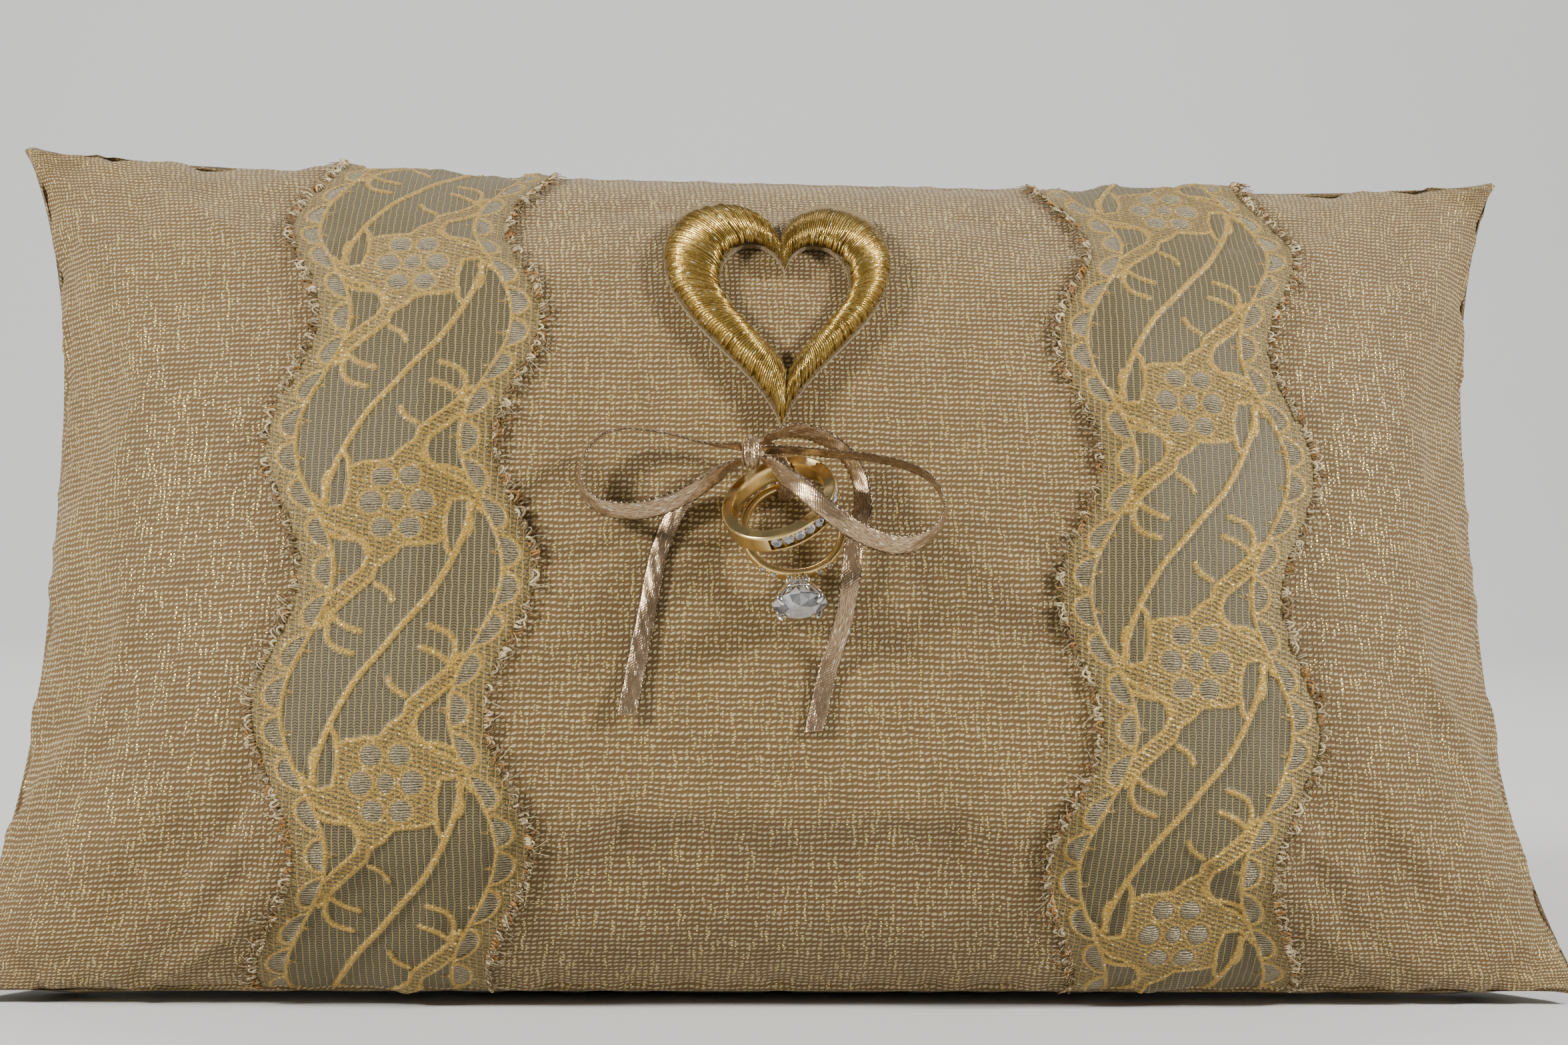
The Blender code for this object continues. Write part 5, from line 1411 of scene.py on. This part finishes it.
def ball(centre, radius, steps=12):
    """A small ball: rings of latitude round a centre."""
    up = np.linspace(0, math.pi, steps)[:, None]
    turn = np.linspace(0, 2 * math.pi, 2 * steps, endpoint=False)[None, :]
    size = np.maximum(np.sin(up), 1e-3)
    places = np.stack([size * np.cos(turn), size * np.sin(turn), np.cos(up) + 0 * turn], axis=-1)
    return (places * radius + np.array(centre)).reshape(-1, 3), tube_faces(steps, 2 * steps)


def join_parts(parts):
    """Several closed parts as one list of places and faces, each turned out on its own."""
    places, faces, count = [], [], 0
    for spots, quads in parts:
        places.append(spots)
        faces.append(turned_out(spots - spots.mean(axis=0), quads) + count)
        count += len(spots)
    return np.concatenate(places), np.concatenate(faces)


def make_solitaire():
    """Shank: a low domed hoop that widens with a high power of the cosine towards the head.
    Head: four claws in pairs that leave the base as a V and close over the stone's edge."""
    world = ring_axes(SOLITAIRE_HANG, SHANK_INNER, SOLITAIRE_AXIS, HEAD_LEAN)
    turn = np.linspace(0, 2 * math.pi, 240, endpoint=False)[:, None]
    near_head = np.clip(-np.sin(turn), 0, 1)
    half = (SHANK_WIDTH + (SHOULDER_WIDTH - SHANK_WIDTH) * near_head ** 6) / 2
    section = np.linspace(0, 2 * math.pi, 28, endpoint=False)[None, :]
    oval = np.sign(np.cos(section)) * np.abs(np.cos(section)) ** 0.75
    wide = np.sign(np.sin(section)) * np.abs(np.sin(section)) ** 0.6
    middle = (SHANK_INNER + SHANK_OUTER) / 2
    radius = middle + (SHANK_OUTER - SHANK_INNER) / 2 * oval
    places = np.stack([radius * np.cos(turn), radius * np.sin(turn), half * wide + 0 * radius], axis=-1)
    rows, around = places.shape[:2]
    hoop = (places.reshape(-1, 3), hoop_faces(rows, around))
    parts = [hoop]
    worlds = []
    for degrees in SIDE_STONE_ANGLES:
        seat = out_along(math.radians(degrees - 90), SHANK_OUTER - 0.1 * MM)
        worlds.append(world @ seat)
        for a, b in ((-1, -1), (1, -1), (1, 1), (-1, 1)):
            bead = seat @ np.array([0.56 * a * SIDE_STONE, 0.62 * b * SIDE_STONE, 0.08 * MM, 1])
            parts.append(ball(bead[:3], 0.19 * MM, 7))
    places, faces = join_parts(parts)
    shank = add_piece("gold_shank", into(world, places), faces, gold_shade)
    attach(shank, "solitaire_ring")
    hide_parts("solitaire_shank")
    cut = brilliant(SIDE_STONE, 0.2 * MM, 0.35 * MM)
    make_stones("shoulder_stones", [cut] * 4, worlds, small_shade, "solitaire_ring",
                [f"solitaire_side_stone_{k + 1}" for k in range(4)])
    at_head = world @ out_along(-math.pi / 2, SHANK_OUTER)
    reach = MAIN_STONE / 2 / MM
    parts = [tube_along([(-1.9, 0, 0.25), (0, 0, 0.5), (1.9, 0, 0.25)], [0.5, 0.8, 0.5]),
             tube_along([(0, -1.2, 0.4), (0, 0, 0.55), (0, 1.2, 0.4)], [0.5, 0.8, 0.5])]
    for k in range(4):
        a = math.radians(45 + 90 * k)
        ca, sa = math.cos(a), math.sin(a)
        points = [(r * reach * ca, r * reach * sa, h) for r, h in CLAW_LINE]
        parts.append(tube_along(points, [0.5, 0.46, 0.46, 0.48, 0.5, 0.44, 0.3]))
        parts.append(ball((0.5 * reach * MM * ca, 0.5 * reach * MM * sa, 1.1 * MM), 0.5 * MM))
    rail = [(0.66 * reach * math.cos(a), 0.66 * reach * math.sin(a), 2.5)
            for a in np.linspace(0, 2 * math.pi, 49)]
    parts.append(tube_along(rail, [0.24] * 49, 8))
    places, faces = join_parts(parts)
    head = add_piece("white_gold_head", into(at_head, places), faces, white_shade)
    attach(head, "solitaire_ring")
    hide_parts("solitaire_head")
    raised = at_head.copy()
    raised[:3, 3] += at_head[:3, 2] * STANDOFF
    make_stones("large_stone", [brilliant(MAIN_STONE, 1.4 * MM, 3.2 * MM)], [raised], clear_shade,
                "solitaire_ring", ["solitaire_stone"])


make_band()
make_solitaire()


# ---------------------------------------------------------------- table and light
# A pale table that turns up far off into a backdrop all round, two soft lamps in front, high on
# the left and on the right, and dim light from everywhere.
TABLE_FLAT = 1.3
TABLE_RISE = 1.3
TABLE_COLOUR = (0.60, 0.60, 0.595)


def make_table():
    """A bowl: flat out to a radius, then turning up through a quarter circle, with its inside
    facing in."""
    turn = np.linspace(0, 2 * math.pi, 97)[:-1]
    bend = np.linspace(0, math.pi / 2, 25)
    radius = np.concatenate([[1e-4, 0.2, 0.5, 0.9], TABLE_FLAT + TABLE_RISE * np.sin(bend)])
    height = np.concatenate([[0, 0, 0, 0], TABLE_RISE * (1 - np.cos(bend))])
    x = radius[:, None] * np.cos(turn)
    y = radius[:, None] * np.sin(turn)
    places = np.stack([x, y, height[:, None] + 0 * x], axis=-1)
    shade, tree, shader = new_material("pale_table", roughness=0.7)
    spot = in_place(tree)
    into_shader(tree, shader, Base_Color=blend_colour(tree, noise(tree, spot, 3.0, 3.0), TABLE_COLOUR,
                                                      tuple(0.97 * v for v in TABLE_COLOUR)))
    faces = grid_faces(len(radius), len(turn), around=True)[:, ::-1]
    add_piece("table", places, faces, shade, closed=False)


def add_lamp(name, place, target, size, power, colour):
    """A square soft lamp at a place, aimed at a target."""
    lamp = bpy.data.lights.new(name, "AREA")
    lamp.size = size
    lamp.energy = power
    lamp.color = colour
    hung = bpy.data.objects.new(name, lamp)
    aim = (Vector(target) - Vector(place)).to_track_quat("-Z", "Y").to_matrix().to_4x4()
    hung.matrix_world = Matrix.Translation(place) @ aim
    bpy.context.scene.collection.objects.link(hung)


make_table()
add_lamp("left_lamp", (-0.84, -0.40, 0.52), (0, 0, 0.08), 0.15, 15.8, (1.0, 0.98, 0.94))
add_lamp("right_lamp", (0.84, -0.38, 0.60), (0, 0, 0.08), 0.15, 16.6, (1.0, 0.98, 0.94))
add_lamp("backdrop_lamp", (0, 0.55, 1.5), (0, 2.4, 0.5), 0.8, 50.0, (1.0, 1.0, 1.0))
world = bpy.data.worlds.new("studio")
bpy.context.scene.world = world
world.use_nodes = True
world.node_tree.nodes["Background"].inputs["Color"].default_value = (1.0, 0.99, 0.97, 1.0)
world.node_tree.nodes["Background"].inputs["Strength"].default_value = 0.15
